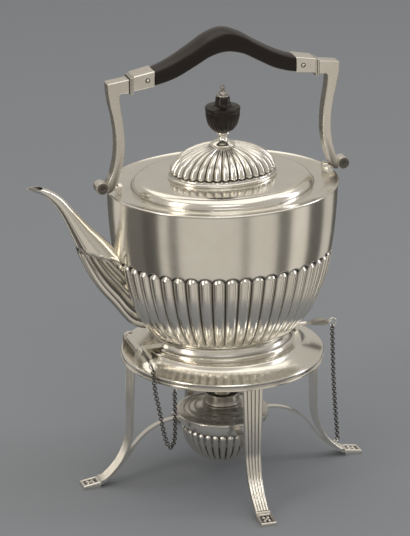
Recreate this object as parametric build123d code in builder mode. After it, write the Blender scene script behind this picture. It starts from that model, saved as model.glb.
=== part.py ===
from build123d import *

import os
from math import cos, radians, sin

# Spirit kettle on its stand, in millimetres.  +Z is up and +X points away from the spout.
# The origin is on the ground, in the middle of the whole object.  Heights are above the ground.
# Distances along X and radii are counted from the kettle's own upright axis, at kettle_x.

# Driving sizes: reach, metal and fits
foot_reach = 100.5
spout_reach = 135.8
kettle_x = (spout_reach - foot_reach) / 2
sheet = 1.2
pin_r = 1.5
pin_play = 0.06
running_gap = 0.3

# Stand ring: a stepped band, a hollow collar and the flat seat for the kettle's foot
band_r = 68.3
band_bead = 0.6
band_wall = 4.6
band_low = 85.5
band_high = 90.3
collar_r = 67.0
collar_sag = 2.6
seat_r = 53.0
seat_z = 97.5
seat_bore_r = 37.0
seat_lip = 2.2

# Legs and feet
leg_sides = {"right": 0, "back": 90, "left": 180, "front": 270}
leg_thick = 2.6
leg_top_w = 14.0
leg_ankle_w = 9.5
leg_top_r = 66.8
leg_knee_r = 67.5
leg_knee_z = 41.0
leg_curve_r = 42.7
leg_curve_end = 238.7
ankle_z = 12.0
foot_w = 10.6
foot_edge_h = 2.6
foot_heel = 1.8
foot_corner_r = 1.0

# Struts and the ring that the lamp hangs in
strut_w = 4.2
strut_thick = 1.5
strut_foot_r = 80.5
strut_foot_slope = 35.0
strut_elbow = (64.5, 24.0)
lamp_ring_r = 31.5
lamp_ring_bore = 28.7
lamp_ring_z = 41.0
lamp_ring_h = 2.6

# Kettle hinge, and the two pins with their leaf-shaped heads and rings
hinge_x = -62.0
hinge_z = 100.2
barrel_r = 3.2
barrel_half = 11.7
leaf_plate = 3.0
lug_thick = 2.7
lug_r = 4.0
lug_base_x = -54.5
lock_lug_x = 51.2
lock_lug_thick = 2.2
lock_lug_r = 3.3
lock_lug_w = 9.0
lock_drawn = 6.5
lock_eye_r = 2.4
lock_eye_gap = 0.6
leaf_len = 16.8
leaf_half_w = 7.5
leaf_thick = 1.6
leaf_tilt = 50.0
leaf_neck = 4.3
eye_r = 2.0
eye_bore = 1.2
pin_ring_r = 2.75
pin_ring_wire = 0.42
pin_ring_droop = 25.0

# Chains and the loops that they hang from
link_r = 1.05
link_wire = 0.25
link_play = 0.05
link_pitch = 1.47
loop_r = 1.8
loop_wire = 0.4
loop_leg = 1.4
left_loop_x = -48.4
left_loop_y = -45.6
right_loop_r = 82.0
left_chain_way = [
    (-59.5, -38.0, 80.0),
    (-57.2, -40.5, 66.0),
    (-54.2, -42.8, 48.0),
    (-51.2, -44.2, 41.0),
    (-48.4, -45.2, 47.0),
    (-48.1, -45.5, 64.0),
]

# Kettle body: level ovals, wider along X than along Y; the values named _a are half lengths along X
oval = 0.86
foot_a = 50.0
foot_band = 1.6
foot_neck_a = 46.4
foot_neck_z = 103.6
foot_top_a = 47.2
foot_wall = 1.6
bowl_base_z = 105.3
bowl_base_a = 48.5
bowl_base_step = 1.2
bowl_rim_a = 78.5
bowl_rim_z = 208.0
bowl_flank = [(56.5, 114.0), (63.4, 124.0), (69.6, 140.0), (74.0, 159.0), (77.1, 181.0)]
rim_bead = 0.7
rim_bead_h = 1.5
rim_bead_w = 1.8
cushion = [(61.0, 53.0, 0.0), (59.3, 51.0, 3.4), (55.0, 45.5, 5.6)]
mouth_a = 33.4
water_hole_r = 9.0
water_hole_z = 139.0

# Spout: the upper and the lower point of each cross-section and its half width, from tip to root
spout_wall = 1.1
spout_facets = 16
spout_cuts = [
    ((-123.0, 218.4), (-spout_reach, 218.9), 4.8),
    ((-114.2, 213.6), (-120.0, 208.6), 4.2),
    ((-103.7, 202.3), (-112.6, 198.2), 5.2),
    ((-91.6, 188.5), (-104.0, 179.0), 7.3),
    ((-79.3, 175.6), (-92.0, 152.3), 10.5),
    ((-71.0, 170.0), (-77.0, 134.0), 12.5),
    ((-66.0, 171.0), (-46.0, 109.0), 13.0),
]

# Lid with its hinge
lid_oval = 0.72
lid_plug_a = 32.2
lid_plug_depth = 3.5
lid_flange_h = 1.4
lid_sides = [(37.5, 0), (37.5, lid_flange_h), (36.0, 4.2), (33.2, 11.0), (22.8, 18.2)]
lid_top_h = 21.2
lid_hinge_y = 28.9
lid_hinge_h = 1.7
knuckle_r = 1.6
knuckle_half = 6.0
knuckle_split = 2.0
knuckle_gap = 0.2
lid_pin_r = 0.7
lid_flap_y = 33.0
lid_flap_h = 1.0

# Finial: silver pedestal, ebony urn and silver cap, drawn together by a stud and a nut
pedestal_r = 8.5
pedestal_waist_r = 3.0
pedestal_top_r = 4.6
pedestal_h = 9.0
urn_r = 11.8
urn_h = 19.5
urn_neck_r = 5.0
urn_neck_h = 5.0
cap_r = 4.2
cap_disc_h = 2.0
cap_cone_h = 5.2
cap_ball_r = 1.8
stud_r = 1.5
nut_r = 3.6
nut_h = 2.4

# Bail handle: two arms, two ferrules and an ebony grip
handle_sides = {"right": 0, "left": 180}
arm_w = 9.0
arm_outer = [(80.8, 287.1), (76.6, 262.0), (75.4, 238.0), (80.7, 217.0)]
arm_inner = [(82.5, 210.9), (78.4, 211.3), (75.2, 215.5), (69.4, 238.0), (70.5, 262.0), (72.8, 279.2)]
arm_root_top = 289.3
pivot_z = 213.0
pivot_pin_r = 1.6
pivot_boss_r = 3.2
pivot_boss_rise = 5.0
pivot_hole_end = 79.1
pivot_head_r = 2.5
pivot_head_h = 0.8
ear_x = 71.2
ear_thick = 2.2
ear_r = 3.3
scroll_x = 84.2
scroll_z = 214.9
scroll_r = 4.0
collar_x = 63.5
collar_thick = 1.6
collar_w = 12.0
collar_low = 278.7
collar_high = 290.4
ferrule_w = 15.0
ferrule_root_low = 281.0
ferrule_root_high = 291.5
grip_cuts = [
    (49.0, 283.3, 294.2, 15.0),
    (33.0, 288.2, 300.8, 17.2),
    (21.5, 294.6, 307.3, 19.2),
    (11.0, 300.2, 313.7, 20.0),
    (0.0, 302.4, 317.0, 20.0),
]
grip_edge_r = 3.0
tenon_len = 11.0
tenon_w = 9.0
tenon_half_h = 3.2
tenon_play = 0.1
rivet_r = 1.3
rivet_x = 54.0

# Spirit lamp
lamp_wall = 1.0
lamp_r = 28.3
lamp_foot_z = 10.5
lamp_foot_r = 7.0
lamp_sides = [(15.5, 13.0), (22.5, 19.5), (26.6, 27.5)]
lamp_flange_h = 1.3
cover_step_h = 0.8
cover_bead_r = 28.4
cover_bead_h = 0.7
cover_dip_r = 24.5
cover_cone_r = 13.6
cover_cone_h = 4.9
head_r = 12.1
head_play = 0.1
head_wall = 1.0
head_skirt_r = 13.6
head_skirt_h = 1.2
head_plug = 4.0
head_h = 8.4
wick_tube_r = 5.0
wick_tube_h = 7.0
wick_tube_drop = 3.0
wick_r = 3.6
wick_rise = 2.0
wick_low_z = 14.0


# Work planes, all placed on the kettle's upright axis
kettle_axis = Axis((kettle_x, 0, 0), (0, 0, 1))


def at(x, y, z):
    """A point, with X counted from the kettle's axis."""
    return Vector(kettle_x + x, y, z)


def level(height):
    """A level plane on the kettle's axis."""
    return Plane(at(0, 0, height))


def radial(degrees):
    """The upright plane through the kettle's axis at an angle: local x is the radius, local y is Z."""
    a = radians(degrees)
    return Plane(at(0, 0, 0), x_dir=(cos(a), sin(a), 0), z_dir=(sin(a), -cos(a), 0))


def facing_out(degrees, radius):
    """The upright plane across a radius: local x runs round the axis, local y is Z."""
    a = radians(degrees)
    start = at(radius * cos(a), radius * sin(a), 0)
    return Plane(start, x_dir=(-sin(a), cos(a), 0), z_dir=(cos(a), sin(a), 0))


facing_front = radial(0)

# The stand: ring, legs, feet, lamp ring and struts
band_in = band_r + band_bead - band_wall
collar_mid = ((collar_r + seat_r) / 2, (band_high + seat_z) / 2 - collar_sag)

with BuildPart() as stand_ring:
    with BuildSketch(facing_front):
        with BuildLine():
            outside = Polyline(
                (band_in, band_low),
                (band_r + band_bead, band_low),
                (band_r + band_bead, band_low + 2 * band_bead),
                (band_r, band_low + 2 * band_bead),
                (band_r, band_high - 2 * band_bead),
                (band_r + band_bead, band_high - 2 * band_bead),
                (band_r + band_bead, band_high),
                (collar_r, band_high),
            )
            top = ThreePointArc(outside @ 1, collar_mid, (seat_r, seat_z))
            seat = Polyline(
                top @ 1,
                (seat_bore_r, seat_z),
                (seat_bore_r, seat_z - seat_lip),
                (seat_bore_r + sheet, seat_z - seat_lip),
                (seat_bore_r + sheet, seat_z - sheet),
                (seat_r - sheet / 2, seat_z - sheet),
            )
            under_mid = (collar_mid[0] - sheet / 2, collar_mid[1] - sheet)
            under = ThreePointArc(seat @ 1, under_mid, (band_in, band_high - sheet))
            Line(under @ 1, outside @ 0)
        make_face()
    revolve(axis=kettle_axis)

# All that lies under the top of the ring, for cutting the lugs that stand on it
with BuildPart() as under_ring_top:
    with BuildSketch(facing_front):
        with BuildLine():
            edge = Polyline(
                (seat_bore_r, seat_z),
                (seat_bore_r, band_low),
                (band_r + band_bead, band_low),
                (band_r + band_bead, band_high),
                (collar_r, band_high),
            )
            rise = ThreePointArc(edge @ 1, collar_mid, (seat_r, seat_z))
            Line(rise @ 1, edge @ 0)
        make_face()
    revolve(axis=kettle_axis)

lamp_ring_top = lamp_ring_z + lamp_ring_h

with BuildPart() as lamp_ring:
    with BuildSketch(level(lamp_ring_z)):
        Circle(lamp_ring_r)
        Circle(lamp_ring_bore, mode=Mode.SUBTRACT)
    extrude(amount=lamp_ring_h)

leg_back_r = leg_curve_r + leg_thick
leg_curve_mid = (180 + leg_curve_end) / 2


def leg_curve(radius, degrees):
    """A point of the leg's lower curve, in the leg's radial plane."""
    a = radians(degrees)
    return (leg_knee_r + leg_curve_r + radius * cos(a), leg_knee_z + radius * sin(a))


def leg_curve_z(radius, r):
    """The height at which the leg's curve of a radius passes a distance r from the kettle's axis."""
    return leg_knee_z - (radius**2 - (leg_knee_r + leg_curve_r - r) ** 2) ** 0.5


toe_top = leg_curve(leg_curve_r, leg_curve_end)
toe_low = leg_curve(leg_back_r, leg_curve_end)
strut_start = (strut_foot_r, leg_curve_z(leg_back_r, strut_foot_r))
strut_way = (-cos(radians(strut_foot_slope)), sin(radians(strut_foot_slope)))
strut_end = (lamp_ring_r - strut_thick / 2, lamp_ring_z + lamp_ring_h / 2)

legs, feet, struts = {}, {}, {}
for side, angle in leg_sides.items():
    with BuildPart() as leg:
        with BuildSketch(radial(angle)):
            with BuildLine():
                shin = Line((leg_top_r, band_low), (leg_knee_r, leg_knee_z))
                instep = ThreePointArc(shin @ 1, leg_curve(leg_curve_r, leg_curve_mid), toe_top)
                toe = Line(instep @ 1, toe_low)
                knee_back = leg_curve(leg_back_r, 180)
                sole = ThreePointArc(toe @ 1, leg_curve(leg_back_r, leg_curve_mid), knee_back)
                calf = Line(sole @ 1, (leg_top_r - leg_thick, band_low))
                Line(calf @ 1, shin @ 0)
            make_face()
        extrude(amount=leg_top_w / 2, both=True)
        with BuildSketch(facing_out(angle, 0)):
            Polygon(
                (-leg_top_w / 2, band_low),
                (-leg_ankle_w / 2, ankle_z),
                (-leg_ankle_w / 2, 0),
                (leg_ankle_w / 2, 0),
                (leg_ankle_w / 2, ankle_z),
                (leg_top_w / 2, band_low),
                align=None,
            )
        extrude(amount=foot_reach, mode=Mode.INTERSECT)
    legs[side] = leg

    with BuildPart() as foot:
        with BuildSketch(radial(angle)):
            Polygon(
                toe_low,
                toe_top,
                (foot_reach, foot_edge_h),
                (foot_reach, 0),
                (toe_low[0] + foot_heel, 0),
                align=None,
            )
        extrude(amount=foot_w / 2, both=True)
        toe_edges = foot.edges().filter_by(Axis.Z)
        fillet(toe_edges, radius=foot_corner_r)
    feet[side] = foot

    with BuildPart() as strut:
        with BuildSketch(radial(angle)):
            with BuildLine():
                lower = TangentArc(strut_start, strut_elbow, tangent=strut_way)
                TangentArc(lower @ 1, strut_end, tangent=lower % 1)
            trace(line_width=strut_thick)
        extrude(amount=strut_w / 2, both=True)
        add(leg.part, mode=Mode.SUBTRACT)
        add(lamp_ring.part, mode=Mode.SUBTRACT)
    struts[side] = strut

# Lugs on the ring, for the kettle's hinge and for the lock pin
lug_in = barrel_half + running_gap
lug_out = lug_in + lug_thick
bore_r = pin_r + pin_play

with BuildPart() as hinge_lugs:
    for face_y in (-lug_out, lug_in):
        with BuildSketch(facing_front.offset(face_y)):
            Polygon(
                (hinge_x - lug_r, band_low),
                (hinge_x - lug_r, hinge_z),
                (hinge_x + lug_r, hinge_z),
                (lug_base_x, seat_z - lug_thick / 2),
                (lug_base_x, band_low),
                align=None,
            )
            with Locations((hinge_x, hinge_z)):
                Circle(lug_r)
                Circle(bore_r, mode=Mode.SUBTRACT)
        extrude(amount=lug_thick)
    add(under_ring_top.part, mode=Mode.SUBTRACT)

with BuildPart() as lock_lug:
    with BuildSketch(facing_out(0, lock_lug_x)):
        Polygon(
            (-lock_lug_w / 2, band_low),
            (-lock_lug_w / 2, seat_z),
            (-lock_lug_r, hinge_z),
            (lock_lug_r, hinge_z),
            (lock_lug_w / 2, seat_z),
            (lock_lug_w / 2, band_low),
            align=None,
        )
        with Locations((0, hinge_z)):
            Circle(lock_lug_r)
            Circle(bore_r, mode=Mode.SUBTRACT)
    extrude(amount=lock_lug_thick)
    add(under_ring_top.part, mode=Mode.SUBTRACT)

# The pins: shaft, leaf-shaped head with an eye at its tip, and a loose ring through the eye
hinge_leaf_y = -(lug_out + leaf_neck)
lock_leaf_x = lock_lug_x + lock_lug_thick + lock_drawn + 2 * pin_play

with BuildPart() as hinge_pin_shaft:
    with BuildSketch(facing_front.offset(-lug_out - running_gap)):
        with Locations((hinge_x, hinge_z)):
            Circle(pin_r)
    extrude(amount=lug_out + running_gap - hinge_leaf_y)

with BuildPart() as lock_pin_shaft:
    with BuildSketch(facing_out(0, lock_lug_x - running_gap)):
        with Locations((0, hinge_z)):
            Circle(pin_r)
    extrude(amount=lock_leaf_x - lock_lug_x + running_gap)


def pin_leaf(start, outward, normal):
    """A leaf-shaped pin head that lies across its normal and ends in a round eye."""
    with BuildPart() as leaf:
        with BuildSketch(Plane(start, x_dir=outward, z_dir=normal)):
            with BuildLine():
                rim = Spline(
                    (0, pin_r),
                    (0.42 * leaf_len, 0.7 * leaf_half_w),
                    (0.7 * leaf_len, leaf_half_w),
                    (leaf_len, eye_r * 0.6),
                )
                Line((0, 0), rim @ 0)
                Line(rim @ 1, (leaf_len, 0))
                mirror(about=Plane.XZ)
            make_face()
            with Locations((leaf_len, 0)):
                Circle(eye_r)
                Circle(eye_bore, mode=Mode.SUBTRACT)
        extrude(amount=leaf_thick / 2, both=True)
    return leaf


def wire_ring(centre):
    """A round wire ring that lies across Y."""
    with BuildPart() as ring:
        with Locations(Plane(centre, z_dir=(0, 1, 0))):
            Torus(pin_ring_r, pin_ring_wire)
    return ring


tilt = radians(leaf_tilt)
droop = radians(pin_ring_droop)
hinge_pin_head = pin_leaf(
    at(hinge_x, hinge_leaf_y, hinge_z), outward=(0, -1, 0), normal=(sin(tilt), 0, cos(tilt))
)
lock_pin_head = pin_leaf(at(lock_leaf_x, 0, hinge_z), outward=(1, 0, 0), normal=(0, 0, 1))
hinge_ring_centre = at(
    hinge_x + pin_ring_r * cos(tilt), hinge_leaf_y - leaf_len, hinge_z - pin_ring_r * sin(tilt)
)
lock_ring_centre = at(
    lock_leaf_x + leaf_len + pin_ring_r * cos(droop), 0, hinge_z - pin_ring_r * sin(droop)
)
hinge_pin_ring = wire_ring(hinge_ring_centre)
lock_pin_ring = wire_ring(lock_ring_centre)

# Wire loops on the stand, and the chains that tie the pins to them


def wire_loop(plane):
    """A staple of round wire whose two ends stand on the plane, one on either side of its origin."""
    with BuildPart() as loop:
        with BuildLine(Plane(plane.origin, x_dir=plane.x_dir, z_dir=-plane.y_dir)):
            first = Line((-loop_r, 0), (-loop_r, loop_leg))
            bend = ThreePointArc(first @ 1, (0, loop_leg + loop_r), (loop_r, loop_leg))
            Line(bend @ 1, (loop_r, 0))
        with BuildSketch(plane):
            with Locations((-loop_r, 0)):
                Circle(loop_wire)
        sweep()
    return loop


ankle_z_top = leg_curve_z(leg_curve_r, right_loop_r)
ankle_out = Vector(
    (leg_knee_r + leg_curve_r - right_loop_r) / leg_curve_r, 0, (leg_knee_z - ankle_z_top) / leg_curve_r
)
ankle_point = at(right_loop_r, 0, ankle_z_top) + ankle_out * link_play
left_loop_seat = at(left_loop_x, left_loop_y, band_low)
left_chain_loop = wire_loop(Plane(left_loop_seat, x_dir=(1, 0, 0), z_dir=(0, 0, -1)))
right_chain_loop = wire_loop(Plane(ankle_point, x_dir=(0, 1, 0), z_dir=ankle_out))


def chain(route, odd):
    """Round links threaded through each other along a route; every second link lies across Y."""
    count = 2 * round(route.length / link_pitch / 2) + odd
    places = []
    for i in range(count):
        along = route.tangent_at(i / (count - 1))
        across = (Vector(0, 1, 0) - along * along.Y).normalized()
        turned = across if i % 2 else along.cross(across)
        places.append(Plane(route.position_at(i / (count - 1)), z_dir=turned))
    with BuildPart() as link:
        Torus(link_r, link_wire)
    return Compound([link.solid().moved(place.location) for place in places])


hook = link_r - link_wire - link_play
left_top = hinge_ring_centre - Vector(0, 0, pin_ring_r - pin_ring_wire + hook)
left_end = at(left_loop_x, left_loop_y, band_low - loop_leg - loop_r + loop_wire - hook)
right_top = lock_ring_centre - Vector(0, 0, pin_ring_r - pin_ring_wire + hook)
right_end = ankle_point + ankle_out * (loop_leg + loop_r) + Vector(0, 0, hook - loop_wire)

with BuildLine() as left_route:
    Spline(left_top, *[at(*point) for point in left_chain_way], left_end)
with BuildLine() as right_route:
    Line(right_top, right_end)
left_chain = chain(left_route.edge(), odd=1)
right_chain = chain(right_route.edge(), odd=0)

# Kettle: foot, bowl, hinge leaf and lock eye


def oval_fill(sections, ratio, inset=0):
    """A solid of level ovals, each given by its reach along X and its height, drawn in by an inset."""
    with BuildPart() as fill:
        for a, z in sections:
            with BuildSketch(level(z)):
                Ellipse(a - inset, a * ratio - inset)
        loft(ruled=True)
    return fill


neck_sections = [(foot_neck_a, foot_neck_z), (foot_top_a, bowl_base_z)]
bowl_side = bowl_flank + [(bowl_rim_a, bowl_rim_z)]
bowl_base = [(bowl_base_a - bowl_base_step, bowl_base_z), (bowl_base_a, bowl_base_z + bowl_base_step)]
band_fill = oval_fill([(foot_a, seat_z), (foot_a, seat_z + foot_band)], oval)
neck_fill = oval_fill([(foot_a - foot_band, seat_z + foot_band)] + neck_sections, oval)
foot_hollow_sides = [(foot_a, seat_z), (foot_neck_a, foot_neck_z), (foot_neck_a, bowl_base_z)]
foot_hollow = oval_fill(foot_hollow_sides, oval, foot_wall)
bowl_fill = oval_fill(bowl_base + bowl_side, oval)
bowl_hollow = oval_fill([(bowl_base_a, bowl_base_z + sheet)] + bowl_side, oval, sheet)

with BuildPart() as kettle_foot:
    add(band_fill.part)
    add(neck_fill.part)
    add(foot_hollow.part, mode=Mode.SUBTRACT)
    with BuildSketch(facing_out(0, 0)):
        with Locations((0, hinge_z)):
            Circle(bore_r)
    extrude(amount=foot_a, mode=Mode.SUBTRACT)

with BuildPart() as kettle_bowl:
    add(bowl_fill.part)
    add(bowl_hollow.part, mode=Mode.SUBTRACT)
    with BuildSketch(facing_out(180, 0)):
        with Locations((0, water_hole_z)):
            Circle(water_hole_r)
    extrude(amount=bowl_rim_a, mode=Mode.SUBTRACT)

with BuildPart() as hinge_leaf:
    with BuildSketch(facing_front):
        with Locations((hinge_x, hinge_z)):
            Circle(barrel_r)
        with Locations((hinge_x, hinge_z + barrel_r - leaf_plate)):
            Rectangle(-hinge_x, leaf_plate, align=(Align.MIN, Align.MIN))
        with Locations((hinge_x, hinge_z)):
            Circle(bore_r, mode=Mode.SUBTRACT)
    extrude(amount=barrel_half, both=True)
    add(band_fill.part, mode=Mode.SUBTRACT)
    add(neck_fill.part, mode=Mode.SUBTRACT)

with BuildPart() as lock_eye:
    with BuildSketch(facing_out(0, foot_neck_a)):
        with Locations((0, hinge_z)):
            Circle(lock_eye_r)
            Circle(bore_r, mode=Mode.SUBTRACT)
    extrude(amount=lock_lug_x - lock_eye_gap - foot_neck_a)
    add(band_fill.part, mode=Mode.SUBTRACT)
    add(neck_fill.part, mode=Mode.SUBTRACT)

# Kettle: shoulder with its rim bead, raised cushion and oval mouth
plate_z = bowl_rim_z + sheet
cushion_top = plate_z + cushion[-1][2]
rim_a = bowl_rim_a + rim_bead

with BuildPart() as shoulder_plate:
    with BuildSketch(level(bowl_rim_z)):
        Ellipse(rim_a, rim_a * oval)
    extrude(amount=sheet)
    with BuildSketch(level(bowl_rim_z)):
        Ellipse(rim_a, rim_a * oval)
        Ellipse(rim_a - rim_bead_w, (rim_a - rim_bead_w) * oval, mode=Mode.SUBTRACT)
    extrude(amount=rim_bead_h)
    for a, b, up in cushion:
        with BuildSketch(level(plate_z + up)):
            Ellipse(a, b)
    loft()
    for a, b, up in cushion:
        with BuildSketch(level(bowl_rim_z + up)):
            Ellipse(a - sheet, b - sheet)
    loft(mode=Mode.SUBTRACT)
    with BuildSketch(level(cushion_top)):
        Ellipse(mouth_a, mouth_a * lid_oval)
    extrude(amount=-cushion[-1][2], mode=Mode.SUBTRACT)


def spout_fill(inset):
    """The spout filled solid, drawn in by an inset."""
    with BuildPart() as fill:
        for upper, lower, half_width in spout_cuts:
            cut = Vector(upper[0] - lower[0], 0, upper[1] - lower[1])
            middle = at((upper[0] + lower[0]) / 2, 0, (upper[1] + lower[1]) / 2)
            turns = [radians(360 * (i + 0.5) / spout_facets) for i in range(spout_facets)]
            long, wide = cut.length / 2 - inset, half_width - inset
            with BuildSketch(Plane(middle, x_dir=cut, z_dir=(-cut.Z, 0, cut.X))):
                Polygon(*[(long * cos(t), wide * sin(t)) for t in turns], align=None)
        loft(ruled=True)
    return fill


with BuildPart() as spout:
    add(spout_fill(0).part)
    add(spout_fill(spout_wall).part, mode=Mode.SUBTRACT)
    add(bowl_fill.part, mode=Mode.SUBTRACT)

# Ears on the shoulder for the handle, and the pivot pins riveted through them
ears, pivots = {}, {}
for side, angle in handle_sides.items():
    with BuildPart() as ear:
        with BuildSketch(facing_out(angle, ear_x)):
            with Locations((0, pivot_z)):
                Circle(ear_r)
            with Locations((0, plate_z)):
                Rectangle(2 * ear_r, pivot_z - plate_z, align=(Align.CENTER, Align.MIN))
            with Locations((0, pivot_z)):
                Circle(pivot_pin_r + pin_play, mode=Mode.SUBTRACT)
        extrude(amount=ear_thick)
    ears[side] = ear

    with BuildPart() as pivot:
        with BuildSketch(facing_out(angle, ear_x)):
            with Locations((0, pivot_z)):
                Circle(pivot_pin_r)
        extrude(amount=pivot_hole_end - pin_play - ear_x)
        with BuildSketch(facing_out(angle, ear_x)):
            with Locations((0, pivot_z)):
                Circle(pivot_head_r)
        extrude(amount=-pivot_head_h)
    pivots[side] = pivot

# Bail handle
ferrule_root_x = collar_x + collar_thick
grip_end_x, grip_low, grip_high, _ = grip_cuts[0]
ferrule_root_mid = (ferrule_root_low + ferrule_root_high) / 2


def ferrule_mid(x):
    """The height of the ferrule's middle line at a distance from the kettle's axis."""
    share = (x - grip_end_x) / (collar_x - grip_end_x)
    return (grip_low + grip_high) / 2 * (1 - share) + ferrule_root_mid * share


def tenon_outline(play):
    """The side view of the tenon that enters a ferrule."""
    end_x = grip_end_x + tenon_len + play
    half_h = tenon_half_h + play
    Polygon(
        (grip_end_x, ferrule_mid(grip_end_x) - half_h),
        (end_x, ferrule_mid(end_x) - half_h),
        (end_x, ferrule_mid(end_x) + half_h),
        (grip_end_x, ferrule_mid(grip_end_x) + half_h),
        align=None,
    )


arms, ferrules = {}, {}
for side, angle in handle_sides.items():
    with BuildPart() as arm:
        with BuildSketch(radial(angle)):
            with BuildLine():
                back = Spline(*arm_outer)
                hook_end = Line(back @ 1, arm_inner[0])
                front = Spline(*arm_inner)
                Polyline(
                    front @ 1,
                    (ferrule_root_x, arm_inner[-1][1]),
                    (ferrule_root_x, arm_root_top),
                    back @ 0,
                )
            make_face()
        extrude(amount=arm_w / 2, both=True)
        with BuildSketch(facing_out(angle, 0)):
            Polygon(
                (-pivot_boss_r, pivot_z),
                (pivot_boss_r, pivot_z),
                (arm_w / 2, pivot_z + pivot_boss_rise),
                (arm_w / 2, arm_root_top),
                (-arm_w / 2, arm_root_top),
                (-arm_w / 2, pivot_z + pivot_boss_rise),
                align=None,
            )
            with Locations((0, pivot_z)):
                Circle(pivot_boss_r)
        extrude(amount=spout_reach, mode=Mode.INTERSECT)
        with BuildSketch(radial(angle)):
            with Locations((scroll_x, scroll_z)):
                Circle(scroll_r)
        extrude(amount=arm_w / 2, both=True)
        with BuildSketch(facing_out(angle, ear_x)):
            with Locations((0, pivot_z)):
                Circle(pivot_pin_r + pin_play)
        extrude(amount=pivot_hole_end - ear_x, mode=Mode.SUBTRACT)
    arms[side] = arm

    with BuildPart() as ferrule:
        with BuildSketch(radial(angle)):
            Polygon(
                (grip_end_x, grip_low),
                (collar_x, ferrule_root_low),
                (collar_x, ferrule_root_high),
                (grip_end_x, grip_high),
                align=None,
            )
        extrude(amount=ferrule_w / 2, both=True)
        with BuildSketch(radial(angle)):
            Polygon(
                (collar_x, collar_low),
                (ferrule_root_x, collar_low),
                (ferrule_root_x, collar_high),
                (collar_x, collar_high),
                align=None,
            )
        extrude(amount=collar_w / 2, both=True)
        with BuildSketch(radial(angle)):
            tenon_outline(tenon_play)
        extrude(amount=tenon_w / 2 + tenon_play, both=True, mode=Mode.SUBTRACT)
        with BuildSketch(radial(angle)):
            with Locations((rivet_x, ferrule_mid(rivet_x))):
                Circle(rivet_r + pin_play)
        extrude(amount=ferrule_w, both=True, mode=Mode.SUBTRACT)
    ferrules[side] = ferrule

with BuildPart() as grip:
    mirrored_cuts = [(-x, low, high, width) for x, low, high, width in grip_cuts[:-1]]
    for x, low, high, width in mirrored_cuts + grip_cuts[::-1]:
        with BuildSketch(facing_out(0, x)):
            with Locations((0, (low + high) / 2)):
                RectangleRounded(width, high - low, grip_edge_r)
    loft()
    for angle in handle_sides.values():
        with BuildSketch(radial(angle)):
            tenon_outline(0)
        extrude(amount=tenon_w / 2, both=True)
        with BuildSketch(radial(angle)):
            with Locations((rivet_x, ferrule_mid(rivet_x))):
                Circle(rivet_r + pin_play)
        extrude(amount=ferrule_w, both=True, mode=Mode.SUBTRACT)

with BuildPart() as grip_rivets:
    for angle in handle_sides.values():
        with BuildSketch(radial(angle)):
            with Locations((rivet_x, ferrule_mid(rivet_x))):
                Circle(rivet_r)
        extrude(amount=ferrule_w / 2, both=True)

# Lid: hollow oval dome with a flange and a plug, and its hinge at the back
lid_top = cushion_top + lid_top_h
lid_top_a = (pedestal_r + running_gap) / lid_oval


lid_sections = [(a, cushion_top + up) for a, up in lid_sides] + [(lid_top_a, lid_top)]
lid_mouth = [(lid_plug_a, cushion_top - lid_plug_depth), (lid_plug_a, cushion_top + lid_flange_h)]
lid_fill = oval_fill(lid_sections, lid_oval)
lid_plug = oval_fill(lid_mouth, lid_oval)
lid_plug_hollow = oval_fill(lid_mouth, lid_oval, sheet)
lid_dome_hollow = oval_fill([lid_mouth[1]] + [(a, z - sheet) for a, z in lid_sections[3:]], lid_oval, sheet)

with BuildPart() as lid_shell:
    add(lid_fill.part)
    add(lid_plug.part)
    add(lid_plug_hollow.part, mode=Mode.SUBTRACT)
    add(lid_dome_hollow.part, mode=Mode.SUBTRACT)
    with BuildSketch(level(lid_top)):
        Circle(stud_r + pin_play)
    extrude(amount=-2 * sheet, mode=Mode.SUBTRACT)

lid_hinge_z = cushion_top + lid_hinge_h


with BuildPart() as lid_hinge_seat:
    with BuildSketch(facing_out(0, 0)):
        with Locations((lid_hinge_y + knuckle_r * 0.8, cushion_top)):
            Rectangle(lid_flap_y - lid_hinge_y, lid_flap_h, align=(Align.MIN, Align.MIN))
    extrude(amount=knuckle_half, both=True)
    with BuildSketch(facing_out(0, 0)):
        with Locations((lid_hinge_y, lid_hinge_z)):
            Circle(knuckle_r + knuckle_gap)
    extrude(amount=knuckle_split + knuckle_gap, both=True, mode=Mode.SUBTRACT)
    for direction in (0, 180):
        with BuildSketch(facing_out(direction, knuckle_split + knuckle_gap)):
            with Locations((lid_hinge_y * (1 if direction == 0 else -1), lid_hinge_z)):
                Circle(knuckle_r)
                Circle(lid_pin_r + pin_play, mode=Mode.SUBTRACT)
        extrude(amount=knuckle_half - knuckle_split - knuckle_gap)

with BuildPart() as lid_hinge_leaf:
    with BuildSketch(facing_out(0, 0)):
        with Locations((lid_hinge_y, lid_hinge_z)):
            Circle(knuckle_r)
        with Locations((lid_hinge_y, lid_hinge_z)):
            Rectangle(3 * knuckle_r, knuckle_r, align=(Align.MAX, Align.MIN))
        with Locations((lid_hinge_y, lid_hinge_z)):
            Circle(lid_pin_r + pin_play, mode=Mode.SUBTRACT)
    extrude(amount=knuckle_split, both=True)
    add(lid_fill.part, mode=Mode.SUBTRACT)

with BuildPart() as lid_hinge_pin:
    with BuildSketch(facing_out(0, 0)):
        with Locations((lid_hinge_y, lid_hinge_z)):
            Circle(lid_pin_r)
    extrude(amount=knuckle_half + running_gap, both=True)

# Finial
pedestal_top = lid_top + pedestal_h
neck_z = pedestal_top + urn_h
cap_z = neck_z + urn_neck_h
ball_z = cap_z + cap_disc_h + cap_cone_h - cap_ball_r / 2


def turned(draw):
    """A round solid turned about the kettle's axis from what draw() outlines, bored for the stud."""
    with BuildPart() as piece:
        with BuildSketch(facing_front):
            with BuildLine():
                draw()
            make_face()
        revolve(axis=kettle_axis)
        with BuildSketch(level(0)):
            Circle(stud_r + pin_play)
        extrude(amount=cap_z, mode=Mode.SUBTRACT)
    return piece


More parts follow.
